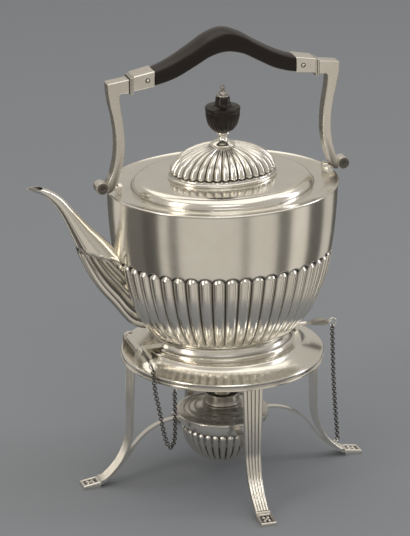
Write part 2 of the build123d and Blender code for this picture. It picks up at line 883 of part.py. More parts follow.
def pedestal_outline():
    foot_line = Polyline((0, lid_top), (pedestal_r, lid_top), (pedestal_r, lid_top + sheet / 2))
    waist = (pedestal_waist_r, lid_top + 0.7 * pedestal_h)
    curve = Spline(foot_line @ 1, (pedestal_waist_r + 1.2, lid_top + 0.4 * pedestal_h), waist)
    Polyline(curve @ 1, (pedestal_top_r, pedestal_top), (0, pedestal_top), (0, lid_top))


def urn_outline():
    lip_z = pedestal_top + 0.88 * urn_h
    bowl = Spline(
        (pedestal_top_r, pedestal_top),
        (0.9 * urn_r, pedestal_top + 0.42 * urn_h),
        (urn_r, lip_z),
    )
    shoulder = Spline(bowl @ 1, (0.8 * urn_r, lip_z + 0.06 * urn_h), (urn_neck_r, neck_z))
    Polyline(shoulder @ 1, (urn_neck_r, cap_z), (0, cap_z), (0, pedestal_top), bowl @ 0)


finial_pedestal = turned(pedestal_outline)
finial_urn = turned(urn_outline)

with BuildPart() as finial_cap:
    with BuildSketch(level(cap_z)):
        Circle(cap_r)
    extrude(amount=cap_disc_h)
    with Locations(Plane(at(0, 0, cap_z + cap_disc_h))):
        cone_align = (Align.CENTER, Align.CENTER, Align.MIN)
        Cone(cap_r * 0.7, cap_ball_r / 2, cap_cone_h - cap_ball_r, align=cone_align)
    with Locations(Plane(at(0, 0, ball_z))):
        Sphere(cap_ball_r)
    with BuildSketch(level(cap_z)):
        Circle(stud_r + pin_play)
    extrude(amount=cap_disc_h, mode=Mode.SUBTRACT)

with BuildPart() as finial_stud:
    with BuildSketch(level(lid_top - sheet - nut_h)):
        Circle(stud_r)
    extrude(amount=cap_z + cap_disc_h - (lid_top - sheet - nut_h))

with BuildPart() as finial_nut:
    with BuildSketch(level(lid_top - sheet - nut_h)):
        RegularPolygon(nut_r, 6)
        Circle(stud_r + pin_play, mode=Mode.SUBTRACT)
    extrude(amount=nut_h)

# Spirit lamp: bowl with a flange, stepped cover, burner head, wick tube and wick
flange_top = lamp_ring_top + lamp_flange_h


with BuildPart() as lamp_bowl:
    with BuildSketch(facing_front):
        with BuildLine():
            floor = Line((0, lamp_foot_z), (lamp_foot_r, lamp_foot_z))
            flank = Spline(floor @ 1, *lamp_sides, (lamp_r, lamp_ring_z))
            inner_floor = Line((0, lamp_foot_z + lamp_wall), (lamp_foot_r, lamp_foot_z + lamp_wall))
            inner_sides = [(r - lamp_wall, z + lamp_wall / 2) for r, z in lamp_sides]
            inner_flank = Spline(inner_floor @ 1, *inner_sides, (lamp_r - lamp_wall, lamp_ring_z))
            Polyline(
                flank @ 1,
                (lamp_r, lamp_ring_top),
                (lamp_ring_r, lamp_ring_top),
                (lamp_ring_r, flange_top),
                (lamp_r - lamp_wall, flange_top),
                inner_flank @ 1,
            )
            Line(floor @ 0, inner_floor @ 0)
        make_face()
    revolve(axis=kettle_axis)

cover_bore_r = head_r + head_play
cover_step_z = flange_top + cover_step_h
cover_top = cover_step_z + cover_cone_h - cover_step_h

with BuildPart() as lamp_cover:
    with BuildSketch(facing_front):
        Polygon(
            (lamp_ring_r, flange_top),
            (lamp_ring_r, cover_step_z),
            (cover_bead_r + cover_bead_h, cover_step_z),
            (cover_bead_r, cover_step_z + cover_bead_h),
            (cover_bead_r - cover_bead_h, cover_step_z),
            (cover_dip_r, cover_step_z - cover_bead_h / 2),
            (cover_cone_r, cover_top),
            (cover_bore_r, cover_top),
            (cover_bore_r, cover_top - lamp_wall),
            (cover_dip_r, flange_top - cover_step_h),
            (lamp_r - lamp_wall - running_gap, flange_top - cover_step_h),
            (lamp_r - lamp_wall - running_gap, flange_top),
            align=None,
        )
    revolve(axis=kettle_axis)

with BuildPart() as burner_head:
    with BuildSketch(level(cover_top)):
        Circle(head_skirt_r)
        Circle(wick_tube_r + pin_play, mode=Mode.SUBTRACT)
    extrude(amount=head_skirt_h)
    with BuildSketch(level(cover_top - head_plug)):
        Circle(head_r)
        Circle(head_r - head_wall, mode=Mode.SUBTRACT)
    extrude(amount=head_plug + head_h)

with BuildPart() as wick_tube:
    with BuildSketch(level(cover_top - wick_tube_drop)):
        Circle(wick_tube_r)
        Circle(wick_r + pin_play, mode=Mode.SUBTRACT)
    extrude(amount=wick_tube_drop + wick_tube_h)

with BuildPart() as wick:
    with BuildSketch(level(wick_low_z)):
        Circle(wick_r)
    extrude(amount=cover_top + wick_tube_h + wick_rise - wick_low_z)

# One STEP file for each piece
pieces = {
    "stand_ring": stand_ring.part,
    "lamp_ring": lamp_ring.part,
    "hinge_lugs": hinge_lugs.part,
    "lock_lug": lock_lug.part,
    "left_chain_loop": left_chain_loop.part,
    "right_chain_loop": right_chain_loop.part,
    "left_chain": left_chain,
    "right_chain": right_chain,
    "hinge_pin_shaft": hinge_pin_shaft.part,
    "hinge_pin_head": hinge_pin_head.part,
    "hinge_pin_ring": hinge_pin_ring.part,
    "lock_pin_shaft": lock_pin_shaft.part,
    "lock_pin_head": lock_pin_head.part,
    "lock_pin_ring": lock_pin_ring.part,
    "kettle_foot": kettle_foot.part,
    "kettle_bowl": kettle_bowl.part,
    "shoulder_plate": shoulder_plate.part,
    "spout": spout.part,
    "hinge_leaf": hinge_leaf.part,
    "lock_eye": lock_eye.part,
    "lid_hinge_seat": lid_hinge_seat.part,
    "grip": grip.part,
    "grip_rivets": grip_rivets.part,
    "lid_shell": lid_shell.part,
    "lid_hinge_leaf": lid_hinge_leaf.part,
    "lid_hinge_pin": lid_hinge_pin.part,
    "finial_pedestal": finial_pedestal.part,
    "finial_urn": finial_urn.part,
    "finial_cap": finial_cap.part,
    "finial_stud": finial_stud.part,
    "finial_nut": finial_nut.part,
    "lamp_bowl": lamp_bowl.part,
    "lamp_cover": lamp_cover.part,
    "burner_head": burner_head.part,
    "wick_tube": wick_tube.part,
    "wick": wick.part,
}
for side in leg_sides:
    pieces |= {f"leg_{side}": legs[side].part, f"foot_{side}": feet[side].part}
    pieces |= {f"strut_{side}": struts[side].part}
for side in handle_sides:
    pieces |= {f"handle_ear_{side}": ears[side].part, f"handle_pivot_{side}": pivots[side].part}
    pieces |= {f"handle_arm_{side}": arms[side].part, f"grip_ferrule_{side}": ferrules[side].part}

os.makedirs("parts", exist_ok=True)
for name, piece in pieces.items():
    piece.label = name
    export_step(piece, f"parts/{name}.step")
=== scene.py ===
"""A silver spirit kettle on its stand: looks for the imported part, in metres, +Z up."""

import math

import bmesh
import bpy
import numpy as np
from mathutils import Matrix, Vector


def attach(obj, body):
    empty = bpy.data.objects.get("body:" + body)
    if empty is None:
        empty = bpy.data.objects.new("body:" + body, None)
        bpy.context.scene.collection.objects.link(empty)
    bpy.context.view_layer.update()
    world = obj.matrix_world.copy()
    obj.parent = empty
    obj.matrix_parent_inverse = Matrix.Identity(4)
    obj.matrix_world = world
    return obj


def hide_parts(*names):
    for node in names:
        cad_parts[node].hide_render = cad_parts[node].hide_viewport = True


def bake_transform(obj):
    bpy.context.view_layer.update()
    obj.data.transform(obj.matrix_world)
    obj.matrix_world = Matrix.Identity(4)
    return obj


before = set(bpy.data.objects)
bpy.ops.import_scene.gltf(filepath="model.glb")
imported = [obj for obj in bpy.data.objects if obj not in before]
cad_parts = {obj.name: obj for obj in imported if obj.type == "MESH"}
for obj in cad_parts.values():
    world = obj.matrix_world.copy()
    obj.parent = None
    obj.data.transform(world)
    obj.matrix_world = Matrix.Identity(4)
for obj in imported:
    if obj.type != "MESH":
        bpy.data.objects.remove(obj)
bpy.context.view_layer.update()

# ---------------------------------------------------------------- kettle bowl
# The bowl is raised from sheet silver and polished. Its lower half is chased into rounded flutes
# whose domed tops end below the plain wall. The inside is plain, with a hole for the spout.

# Shapes are worked out in millimetres, with X counted from the kettle's upright axis.
KETTLE_X = 17.65
MM = 0.001
OVAL = 0.86  # half width over half length of the kettle
CLOUDS_PER_METRE = 45.0  # clouds of tarnish about 22 mm across
RUBS_PER_METRE = 260.0  # rubbed marks about 4 mm across, coarser than real ones so that they show


def linear(hex_colour):
    """Linear red, green, blue and a full alpha from an sRGB hex colour."""
    parts = [int(hex_colour[i : i + 2], 16) / 255 for i in (0, 2, 4)]
    return [c / 12.92 if c <= 0.04045 else ((c + 0.055) / 1.055) ** 2.4 for c in parts] + [1]


def add_node(material, kind, inputs=None, **settings):
    """A shader node with its settings, input values and links."""
    tree = material.node_tree
    node = tree.nodes.new("ShaderNode" + kind)
    for key, value in settings.items():
        setattr(node, key, value)
    for key, value in (inputs or {}).items():
        if isinstance(value, bpy.types.NodeSocket):
            tree.links.new(value, node.inputs[key])
        else:
            node.inputs[key].default_value = value
    return node


def new_material(name, **values):
    """A material and its main shader, with values for the shader's inputs."""
    material = bpy.data.materials.new(name)
    material.use_nodes = True
    shader = material.node_tree.nodes["Principled BSDF"]
    for key, value in values.items():
        shader.inputs[key.replace("_", " ")].default_value = value
    return material, shader


def silver(name, roughness, tarnish):
    """Rubbed sheet silver that darkens to a dark brown and dulls as its points' darkness value
    rises to 1. That darkness is painted shade in grooves, recesses and shadowed parts, and oxide on
    the finial's cap.
    """
    material, shader = new_material(name, Metallic=1.0)
    where = add_node(material, "TexCoord").outputs["Object"]
    clouds = add_node(
        material, "TexNoise", {"Vector": where, "Scale": CLOUDS_PER_METRE, "Detail": 3.0}
    ).outputs["Fac"]
    rubs = add_node(
        material, "TexNoise", {"Vector": where, "Scale": RUBS_PER_METRE, "Detail": 4.0}
    ).outputs["Fac"]
    shade_and_oxide = add_node(material, "Attribute", attribute_name="shade_and_oxide").outputs["Fac"]
    tone = add_node(
        material, "MixRGB", {"Fac": clouds, "Color1": linear("EFECE6"), "Color2": linear(tarnish)}
    )
    # The dark brown mixed in here is painted shade, and oxide on the cap only.
    dark = add_node(
        material,
        "MixRGB",
        {"Fac": shade_and_oxide, "Color1": tone.outputs["Color"], "Color2": linear("2A2521")},
    )
    rough = add_node(
        material, "MapRange", {"Value": rubs, "To Min": roughness * 0.8, "To Max": roughness * 1.25}
    )
    duller = add_node(
        material, "Math", {0: shade_and_oxide, 1: 0.25, 2: rough.outputs["Result"]}, operation="MULTIPLY_ADD"
    )
    links = material.node_tree.links
    links.new(dark.outputs["Color"], shader.inputs["Base Color"])
    links.new(duller.outputs["Value"], shader.inputs["Roughness"])
    return material


# Polished silver mirrors softly, with a faint yellow tarnish. Nodes left as solids wear it too.
polished_silver = silver("polished_silver", 0.19, "DFDBD0")
for node_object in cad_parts.values():
    node_object.data.materials.clear()
    node_object.data.materials.append(polished_silver)


def curve(points, per_span=8):
    """A smooth line through the points: cubic spans whose slope at each point is half the step
    between its neighbours."""
    p = np.array(points, float)
    p = np.vstack([2 * p[0] - p[1], p, 2 * p[-1] - p[-2]])
    t = np.linspace(0, 1, per_span, endpoint=False)[:, None]
    spans = [
        (2 * b + (c - a) * t + (2 * a - 5 * b + 4 * c - d) * t**2 + (3 * b - a - 3 * c + d) * t**3)
        / 2
        for a, b, c, d in zip(p, p[1:], p[2:], p[3:])
    ]
    return np.vstack(spans + [p[-2:-1]])


def smooth_step(x, low, high):
    """0 below low and 1 above high, joined by three t squared less two t cubed."""
    t = np.clip((np.asarray(x, float) - low) / (high - low), 0, 1)
    return t * t * (3 - 2 * t)


def skin(rows, columns, wrap=True, caps=False):
    """Faces of a grid of points: each joins two neighbours in a row to the two in the next row."""
    i = np.arange(rows - 1)[:, None] * columns
    j = np.arange(columns if wrap else columns - 1)[None]
    k = (j + 1) % columns
    faces = np.stack([i + j, i + k, i + columns + k, i + columns + j], -1).reshape(-1, 4).tolist()
    if caps:
        faces.append(list(range(columns))[::-1])
        faces.append(list(range((rows - 1) * columns, rows * columns)))
    return faces


def oval(a, b, z, turns):
    """Rows of level ovals: a times the cosine and b times the sine of each turn, at height z."""
    a, b, z = (np.asarray(v, float)[:, None] for v in (a, b, z))
    return np.stack(np.broadcast_arrays(a * np.cos(turns), b * np.sin(turns), z), -1)


def even_turns(count, ratio):
    """Angles that share out an oval's edge evenly, read off its summed length."""
    fine = np.linspace(0, 2 * np.pi, 4001)
    step = np.hypot(np.sin(fine), ratio * np.cos(fine))
    length = np.concatenate([[0], np.cumsum((step[1:] + step[:-1]) / 2)])
    return np.interp(np.arange(count) / count * length[-1], length, fine)


def rib_phase(columns, count):
    """The place across each of count ribs, from -1 to 1, for evenly spread columns."""
    return ((np.arange(columns) / columns * count) % 1) * 2 - 1


def ribs(phase, past_end, relief, groove):
    """Height and painted shade of rounded ribs. q is phase squared plus past_end squared, so that q
    is 1 along a rib's sides and round its domed end. Height falls with q to minus groove there,
    then dies away outside; the painted shade is a bell round q = 1, in the grooves, that is wider
    between the domes."""
    q = phase**2 + np.maximum(past_end, 0) ** 2
    crest = relief * (1 - q) - groove
    height = np.where(q < 1, crest, -groove * np.exp(-5 * (q - 1)))
    reach = np.where(q < 1, 0.28, 0.2 + 0.5 * np.abs(phase))
    return height, np.exp(-(((q - 1) / reach) ** 2))


def raised(grid, height):
    """The grid with each point moved by its height along the cross product of the steps to its
    neighbours in its row and in its column."""
    across = np.roll(grid, -1, 1) - np.roll(grid, 1, 1)
    normal = np.cross(across, np.gradient(grid, axis=0))
    size = np.linalg.norm(normal, axis=-1, keepdims=True)
    return grid + normal / np.maximum(size, 1e-9) * np.asarray(height)[..., None]


def close_and_turn_out(mesh):
    """Merges the points of poles and seams, walls the bores and turns every face outwards."""
    shape = bmesh.new()
    shape.from_mesh(mesh)
    bmesh.ops.remove_doubles(shape, verts=shape.verts, dist=0.025 * MM)
    open_edges = [edge for edge in shape.edges if edge.is_boundary]
    if open_edges:
        bmesh.ops.bridge_loops(shape, edges=open_edges)
    bmesh.ops.recalc_face_normals(shape, faces=shape.faces)
    shape.to_mesh(mesh)
    shape.free()


def piece(name, shape, material, body, *nodes, sharp=38, bevel=0.0):
    """A mesh that moves with a body and stands for CAD nodes, from (points, faces, darkness as
    painted shade and oxide) in millimetres; edges sharper than the angle stay crisp, and bevel
    rounds them."""
    points, faces, shade_and_oxide = shape
    points = np.reshape(points, (-1, 3)) + (KETTLE_X, 0, 0)
    mesh = bpy.data.meshes.new(name)
    mesh.from_pydata((points * MM).tolist(), [], faces)
    mesh.materials.append(material)
    # This attribute carries the painted shade, and the cap's oxide, to the silver material.
    attribute = mesh.attributes.new("shade_and_oxide", "FLOAT", "POINT")
    shade_and_oxide = np.broadcast_to(np.ravel(shade_and_oxide), len(points))
    attribute.data.foreach_set("value", shade_and_oxide.astype(np.float32))
    close_and_turn_out(mesh)
    mesh.shade_smooth()
    mesh.set_sharp_from_angle(angle=math.radians(sharp))
    obj = bpy.data.objects.new(name, mesh)
    bpy.context.collection.objects.link(obj)
    if bevel:
        modifier = obj.modifiers.new("bevel", "BEVEL")
        modifier.width = bevel * MM
        modifier.segments = 3
        modifier.angle_limit = math.radians(35)
        modifier.harden_normals = True
    if body:
        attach(obj, body)
    if nodes:
        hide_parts(*nodes)
    return obj


POLE = 0.01  # radius of the row that is merged to one point at a shape's axis
RIM_Z = 207.9
FOOT_Z = 105.3
BOWL_WALL = 2.2
BOWL_RIBS = 48
PER_RIB = 14  # columns of points across a rib
RIB_TOP = 163.5
RIB_HALF = 4.7  # half the width of a rib at its top, and the length of its dome
RIB_DEPTH = 1.7  # times the relief and groove below, for a rib at full width
BOWL_RELIEF, BOWL_GROOVE = 1.6, 0.95
SPOUT_HOLE_Z, SPOUT_HOLE_R = 139, 9  # on the left side only
bowl_side = curve(
    [
        (47.3, 105.3), (48.4, 106.4), (51.4, 108.9), (57.5, 116.0), (62.7, 123.9), (67.3, 134.3),
        (71.1, 146.3), (73.5, 156.6), (75.6, 169.4), (76.9, 181.0), (77.9, 195.0), (78.4, 207.9),
    ]
)
rows_z = np.concatenate(
    [
        np.linspace(FOOT_Z, 110, 12), np.linspace(111, 155, 32), np.linspace(155.7, 166, 34),
        np.linspace(167, RIM_Z, 17),
    ]
)
bowl_a = np.interp(rows_z, bowl_side[:, 1], bowl_side[:, 0])
bowl_columns = BOWL_RIBS * PER_RIB
bowl_turns = even_turns(bowl_columns, OVAL)
half_rib = np.pi * (1 + OVAL) / 2 * bowl_a / BOWL_RIBS
past = (rows_z - (RIB_TOP - RIB_HALF)) / RIB_HALF
height, shade_and_oxide = ribs(
    rib_phase(bowl_columns, BOWL_RIBS)[None], past[:, None], BOWL_RELIEF, BOWL_GROOVE
)
fade = (smooth_step(rows_z, 106.2, 109.5) * np.clip(half_rib / RIB_HALF, 0.5, 1))[:, None]
bowl_out = raised(oval(bowl_a, bowl_a * OVAL, rows_z, bowl_turns), height * fade * RIB_DEPTH)
inner_z = np.linspace(RIM_Z, 106.6, 40)
inner_a = np.interp(inner_z, bowl_side[:, 1], bowl_side[:, 0]) - BOWL_WALL
bowl_in = oval(inner_a, inner_a * OVAL, inner_z, bowl_turns)
floor_in = oval([30.0, POLE], [26.0, POLE], [106.5, 106.5], bowl_turns)
floor_out = oval([POLE, 40.0], [POLE, 34.0], [FOOT_Z, FOOT_Z], bowl_turns)
bowl_grid = np.vstack([floor_out, bowl_out, bowl_in, floor_in])
# Painted shade darkens the flutes' grooves and the rings round their domes, fading out near the
# foot.
bowl_painted_shade = np.zeros(bowl_grid.shape[:2])
bowl_painted_shade[len(floor_out) : len(floor_out) + len(rows_z)] = shade_and_oxide * fade
bowl_faces = np.array(skin(len(bowl_grid), bowl_columns))
corner = bowl_grid.reshape(-1, 3)[bowl_faces[:, 0]]
in_hole = np.hypot(corner[:, 1], corner[:, 2] - SPOUT_HOLE_Z) < SPOUT_HOLE_R
in_hole &= corner[:, 0] < 0
piece(
    "bowl", (bowl_grid, bowl_faces[~in_hole].tolist(), bowl_painted_shade),
    polished_silver, "kettle", "kettle_bowl", sharp=60,
)

# ---------------------------------------------------------------- kettle foot and shoulder
# The foot is a stepped oval ring of silver soldered under the bowl, with a bore for the lock pin.
# The shoulder is an oval plate soldered inside the rim: a bead, a groove and a raised cushion.
FOOT_COLUMNS = 160
BORE_Z, BORE_HALF_Y, BORE_HALF_Z = 100.5, 2, 2.1  # on the right side only
foot_profile = [
    (46.8, 97.5), (50.0, 97.5), (50.0, 98.6), (49.5, 99.1), (48.4, 99.3), (47.9, 99.8),
    (47.3, 101.2), (46.7, 102.6), (46.5, 103.6), (46.6, 104.4), (47.2, 105.3), (44.8, 105.3),
    (44.8, 103.6), (45.2, 102.4), (45.58, 101.2), (46.02, 99.8), (46.18, 99.3), (46.24, 99.1),
    (46.4, 98.6), (46.8, 97.5),
]
foot_a, foot_z = np.array(foot_profile).T
foot_turns = np.linspace(0, 2 * np.pi, FOOT_COLUMNS, endpoint=False)
foot_grid = oval(foot_a, foot_a * OVAL, foot_z, foot_turns)
foot_faces = np.array(skin(len(foot_a), FOOT_COLUMNS))
middle = foot_grid.reshape(-1, 3)[foot_faces].mean(1)
in_bore = (np.abs(middle[:, 1]) < BORE_HALF_Y) & (np.abs(middle[:, 2] - BORE_Z) < BORE_HALF_Z)
in_bore &= middle[:, 0] > 0
# Painted shade darkens the foot's lower step and the crease where it meets the bowl.
foot_shade_profile = 0.75 * np.exp(-(((foot_a - 48.1) / 0.5) ** 2)) * (foot_z < 100.5)
foot_shade_profile += 0.7 * np.exp(-(((foot_z - 104.7) / 0.6) ** 2))
foot_painted_shade = np.repeat(foot_shade_profile[:, None], FOOT_COLUMNS, 1)
piece(
    "foot", (foot_grid, foot_faces[~in_bore].tolist(), foot_painted_shade),
    polished_silver, "kettle", "kettle_foot",
)
SHOULDER_COLUMNS = 240
shoulder = np.array(
    [
        (76.8, 66.0, 207.9), (78.6, 67.6, 207.9), (79.1, 68.0, 208.3), (79.2, 68.1, 208.8),
        (79.0, 67.9, 209.3), (78.5, 67.5, 209.5), (77.9, 66.9, 209.4), (77.5, 66.6, 209.15),
        (70.0, 59.7, 208.95), (62.8, 54.2, 209.1), (62.4, 53.9, 208.9), (61.8, 53.4, 208.8),
        (61.3, 53.0, 209.0), (61.1, 52.8, 209.8), (60.9, 52.6, 210.8), (60.3, 51.9, 211.9),
        (59.3, 50.8, 212.9), (57.9, 49.2, 213.8), (56.2, 47.1, 214.4), (54.6, 45.3, 214.7),
        (53.6, 44.2, 214.75), (40.0, 31.0, 214.75), (34.0, 24.8, 214.7), (33.4, 24.1, 214.4),
        (33.4, 24.1, 213.6), (53.8, 44.3, 213.5), (58.5, 49.5, 211.6), (60.0, 51.4, 208.0),
        (76.8, 66.0, 207.9),
    ]
)
shoulder_turns = np.linspace(0, 2 * np.pi, SHOULDER_COLUMNS, endpoint=False)
# Painted shade darkens the groove.
groove_painted_shade = np.exp(-(((shoulder[:, 0] - 61.9) / 0.5) ** 2)) * (shoulder[:, 2] < 209.2) * 0.8
piece(
    "shoulder",
    (
        oval(*shoulder.T, shoulder_turns), skin(len(shoulder), SHOULDER_COLUMNS),
        np.repeat(groove_painted_shade[:, None], SHOULDER_COLUMNS, 1),
    ),
    polished_silver, "kettle", "shoulder_plate", sharp=50,
)

# ---------------------------------------------------------------- spout
# A swan-necked silver tube, oval in section, soldered over the hole in the bowl.
# The lower part is chased with ribs like the bowl's, with painted shade in their grooves; the
# inside and the mouth are painted dark as shade.
SPOUT_CUTS = [
    # upper x, upper z, lower x, lower z, half width
    (-52.0, 166.0, -44.0, 109.0, 12.2),
    (-71.5, 168.5, -62.5, 115.0, 12.6),
    (-75.2, 171.0, -76.0, 131.0, 12.3),
    (-79.3, 175.6, -86.5, 144.0, 11.4),
    (-85.0, 182.0, -95.0, 158.5, 9.4),
    (-91.6, 188.5, -102.3, 174.5, 7.6),
    (-97.6, 195.2, -107.4, 186.5, 6.2),
    (-103.7, 202.3, -112.4, 197.5, 5.2),
    (-109.6, 209.2, -117.4, 205.8, 4.5),
    (-115.8, 214.6, -123.0, 211.6, 4.1),
    (-121.3, 217.7, -128.2, 215.2, 4.2),
    (-123.4, 218.6, -135.9, 218.8, 4.9),
]
SPOUT_RIBS = 16
SPOUT_RELIEF, SPOUT_GROOVE, SPOUT_DOME = 2.6, 1.4, 3.4
spout_columns = SPOUT_RIBS * PER_RIB
spout_turns = np.arange(spout_columns) / spout_columns * 2 * np.pi
spout_line = curve(SPOUT_CUTS, 9)


def spout_skin(inset):
    """Rows of oval sections between the spout's top and bottom lines, drawn in by inset. The
    first column is the top line, and the cosine of the turn runs from there to the bottom line."""
    upper, lower, half_width = spout_line[:, 0:2], spout_line[:, 2:4], spout_line[:, 4:5]
    middle, half = (upper + lower) / 2, (upper - lower) / 2
    half = half * (1 - inset / np.linalg.norm(half, axis=1, keepdims=True))
    along = middle[:, None] + half[:, None] * np.cos(spout_turns)[None, :, None]
    side = (half_width - inset) * -np.sin(spout_turns)
    return np.stack([along[..., 0], side, along[..., 1]], -1)


spout_out = spout_skin(0.5)
rib_end = 160.0 - 0.3 * (spout_out[..., 0] + 68)
past = (spout_out[..., 2] - rib_end) / SPOUT_DOME
height, shade_and_oxide = ribs(
    rib_phase(spout_columns, SPOUT_RIBS)[None], past, SPOUT_RELIEF, SPOUT_GROOVE
)
low_side = smooth_step(-np.cos(spout_turns), -0.75, -0.35)[None] * np.ones(spout_out.shape[:2])
spout_ribbed = raised(spout_out, height * low_side)
spout_painted_shade = shade_and_oxide * low_side * 0.85
spout_in = spout_skin(1.5)[::-1]
# The inside is painted dark as shade.
inside_painted_shade = np.full(spout_in.shape[:2], 0.75)
spout_grid = np.vstack([spout_ribbed, spout_in, spout_ribbed[:1]])
piece(
    "swan_spout",
    (
        spout_grid, skin(len(spout_grid), spout_columns),
        np.vstack([spout_painted_shade, inside_painted_shade, spout_painted_shade[:1]]),
    ),
    polished_silver, "kettle", "spout", sharp=60,
)

# ---------------------------------------------------------------- lid
# A raised oval dome of silver whose ribs run together at the finial, over a plain collar.
# The collar drops into the shoulder's mouth, and the lid turns on a hinge at the back.
LID_OVAL = 0.72
LID_RIBS = 34
LID_RELIEF, LID_GROOVE, LID_DEPTH = 1.3, 0.95, 1.75
LID_RIB_END, LID_DOME = 220.4, 2.6  # the height where a rib's domed lower end starts, its length
lid_columns = LID_RIBS * PER_RIB
lid_turns = even_turns(lid_columns, LID_OVAL)
lid_line = curve(
    [
        (36.1, 26.0, 217.0), (36.2, 26.1, 219.0), (34.9, 25.1, 223.0), (32.2, 23.2, 226.9),
        (28.0, 20.2, 230.3), (22.0, 16.2, 233.2), (15.5, 11.9, 235.2), (10.0, 8.6, 236.2),
        (7.5, 7.2, 236.3),
    ],
    7,
)
lid_half_rib = np.pi * (lid_line[:, 0] + lid_line[:, 1]) / 2 / LID_RIBS
past = (LID_RIB_END - lid_line[:, 2]) / LID_DOME
height, shade_and_oxide = ribs(
    rib_phase(lid_columns, LID_RIBS)[None], past[:, None], LID_RELIEF, LID_GROOVE
)
depth = (np.clip(lid_half_rib / 3.0, 0.22, 1) * LID_DEPTH)[:, None]
lid_dome = raised(oval(*lid_line.T, lid_turns), height * depth - 0.3)
collar = np.array(
    [
        (32.0, 23.0, 211.4), (32.1, 23.1, 214.8), (37.3, 26.9, 214.8), (37.5, 27.0, 215.2),
        (37.5, 27.0, 216.0), (37.2, 26.8, 216.4), (36.2, 25.9, 216.6),
    ]
)
lid_inside = np.array(
    [
        (8.0, 6.0, 234.6), (20.0, 14.5, 232.0), (29.5, 21.2, 225.0), (31.0, 22.0, 216.2),
        (31.0, 22.0, 211.4), (32.0, 23.0, 211.4),
    ]
)
lid_grid = np.vstack([oval(*collar.T, lid_turns), lid_dome, oval(*lid_inside.T, lid_turns)])
# Painted shade darkens the grooves between the ribs, less where they narrow near the finial, and
# the row where the collar meets the dome.
lid_painted_shade = np.zeros(lid_grid.shape[:2])
dome_rows = slice(len(collar), len(collar) + len(lid_line))
lid_painted_shade[dome_rows] = shade_and_oxide * smooth_step(lid_half_rib, 0.1, 1.2)[:, None]
lid_painted_shade[len(collar) - 1] = 0.6
piece(
    "lid", (lid_grid, skin(len(lid_grid), lid_columns), lid_painted_shade),
    polished_silver, "lid", "lid_shell", sharp=60,
)

# ---------------------------------------------------------------- finial
# A turned silver pedestal, a reeded ebony urn with a lip, and a silver cap with a spire and ball.
# All are threaded on one stud through the top of the lid.


def turned(profile, columns=96, dark=0.0):
    """A round shape from (radius, height) points: level circles joined row to row."""
    profile = np.array(profile, float)
    turns = np.linspace(0, 2 * np.pi, columns, endpoint=False)
    grid = oval(profile[:, 0], profile[:, 0], profile[:, 1], turns)
    return grid, skin(len(profile), columns), dark


# Ebony is close-grained and satin polished: nearly black, with thin brown lines along X that are
# about 1.6 mm wide and 21 mm long.
GRAIN_STRETCH = (12, 160, 160)
GRAIN_SCALE = 4.0
ebony, ebony_shader = new_material("ebony", Roughness=0.33, Specular_IOR_Level=0.28)
grain_where = add_node(ebony, "TexCoord")
grain_stretch = add_node(
    ebony, "Mapping", {"Vector": grain_where.outputs["Object"], "Scale": GRAIN_STRETCH}
)
grain = add_node(
    ebony, "TexNoise",
    {"Vector": grain_stretch.outputs["Vector"], "Scale": GRAIN_SCALE, "Detail": 5.0},
)
grain_tone = add_node(
    ebony, "MixRGB",
    {"Fac": grain.outputs["Fac"], "Color1": linear("110D0B"), "Color2": linear("251B16")},
)
ebony.node_tree.links.new(grain_tone.outputs["Color"], ebony_shader.inputs["Base Color"])

# Worn silver is handled more often, so it is duller and a little yellower.
worn_silver = silver("worn_silver", 0.25, "D2CCBF")

pedestal_side = curve(
    [
        (8.0, 236.0), (8.4, 236.7), (7.6, 237.4), (5.4, 238.5), (3.6, 240.2), (3.0, 242.0),
        (3.4, 243.3), (4.7, 244.2), (4.6, 245.0),
    ],
    4,
)
pedestal = np.vstack([[(POLE, 236.0)], pedestal_side, [(POLE, 245.0)]])
piece("pedestal", turned(pedestal), polished_silver, "lid", "finial_pedestal")
URN_REEDS = 22
URN_RELIEF, URN_GROOVE = 0.4, 0.28
URN_REED_END, URN_DOME = 258.4, 1.4
urn_columns = URN_REEDS * 10
urn_turns = np.arange(urn_columns) / urn_columns * 2 * np.pi
urn_line = curve(
    [
        (3.0, 245.0), (4.9, 245.5), (7.6, 247.3), (9.8, 250.6), (11.0, 254.8), (11.5, 258.6),
        (11.5, 260.0),
    ],
    6,
)
urn_r, urn_z = urn_line.T
past = (urn_z[:, None] - URN_REED_END) / URN_DOME
height, _ = ribs(rib_phase(urn_columns, URN_REEDS)[None], past, URN_RELIEF, URN_GROOVE)
urn_body = raised(
    oval(urn_r, urn_r, urn_z, urn_turns), height * smooth_step(urn_z[:, None], 245.2, 248.0)
)
urn_bottom = oval([POLE], [POLE], [245.0], urn_turns)
urn_top = np.array(
    [
        (11.6, 260.4), (11.85, 261.0), (11.85, 261.9), (11.5, 262.4), (10.4, 262.6), (9.4, 262.5),
        (8.0, 262.9), (6.6, 263.4), (5.6, 264.2), (5.0, 265.6), (4.7, 269.0), (4.3, 269.5),
        (POLE, 269.5),
    ]
)
urn_lip = oval(urn_top[:, 0], urn_top[:, 0], urn_top[:, 1], urn_turns)
urn_grid = np.vstack([urn_bottom, urn_body, urn_lip])
piece(
    "urn", (urn_grid, skin(len(urn_grid), urn_columns), 0.0),
    ebony, "lid", "finial_urn", sharp=50,
)
cap = [
    (POLE, 269.5), (4.0, 269.5), (4.2, 269.9), (4.2, 270.6), (3.8, 271.0), (2.9, 271.4),
    (2.5, 272.2), (2.2, 273.2), (1.4, 273.8), (0.9, 274.3), (0.95, 274.6), (1.5, 274.9),
    (1.8, 275.6), (1.6, 276.5), (1.0, 277.3), (POLE, 277.6),
]
piece("cap", turned(cap, 48, 0.5), worn_silver, "lid", "finial_cap", sharp=50)

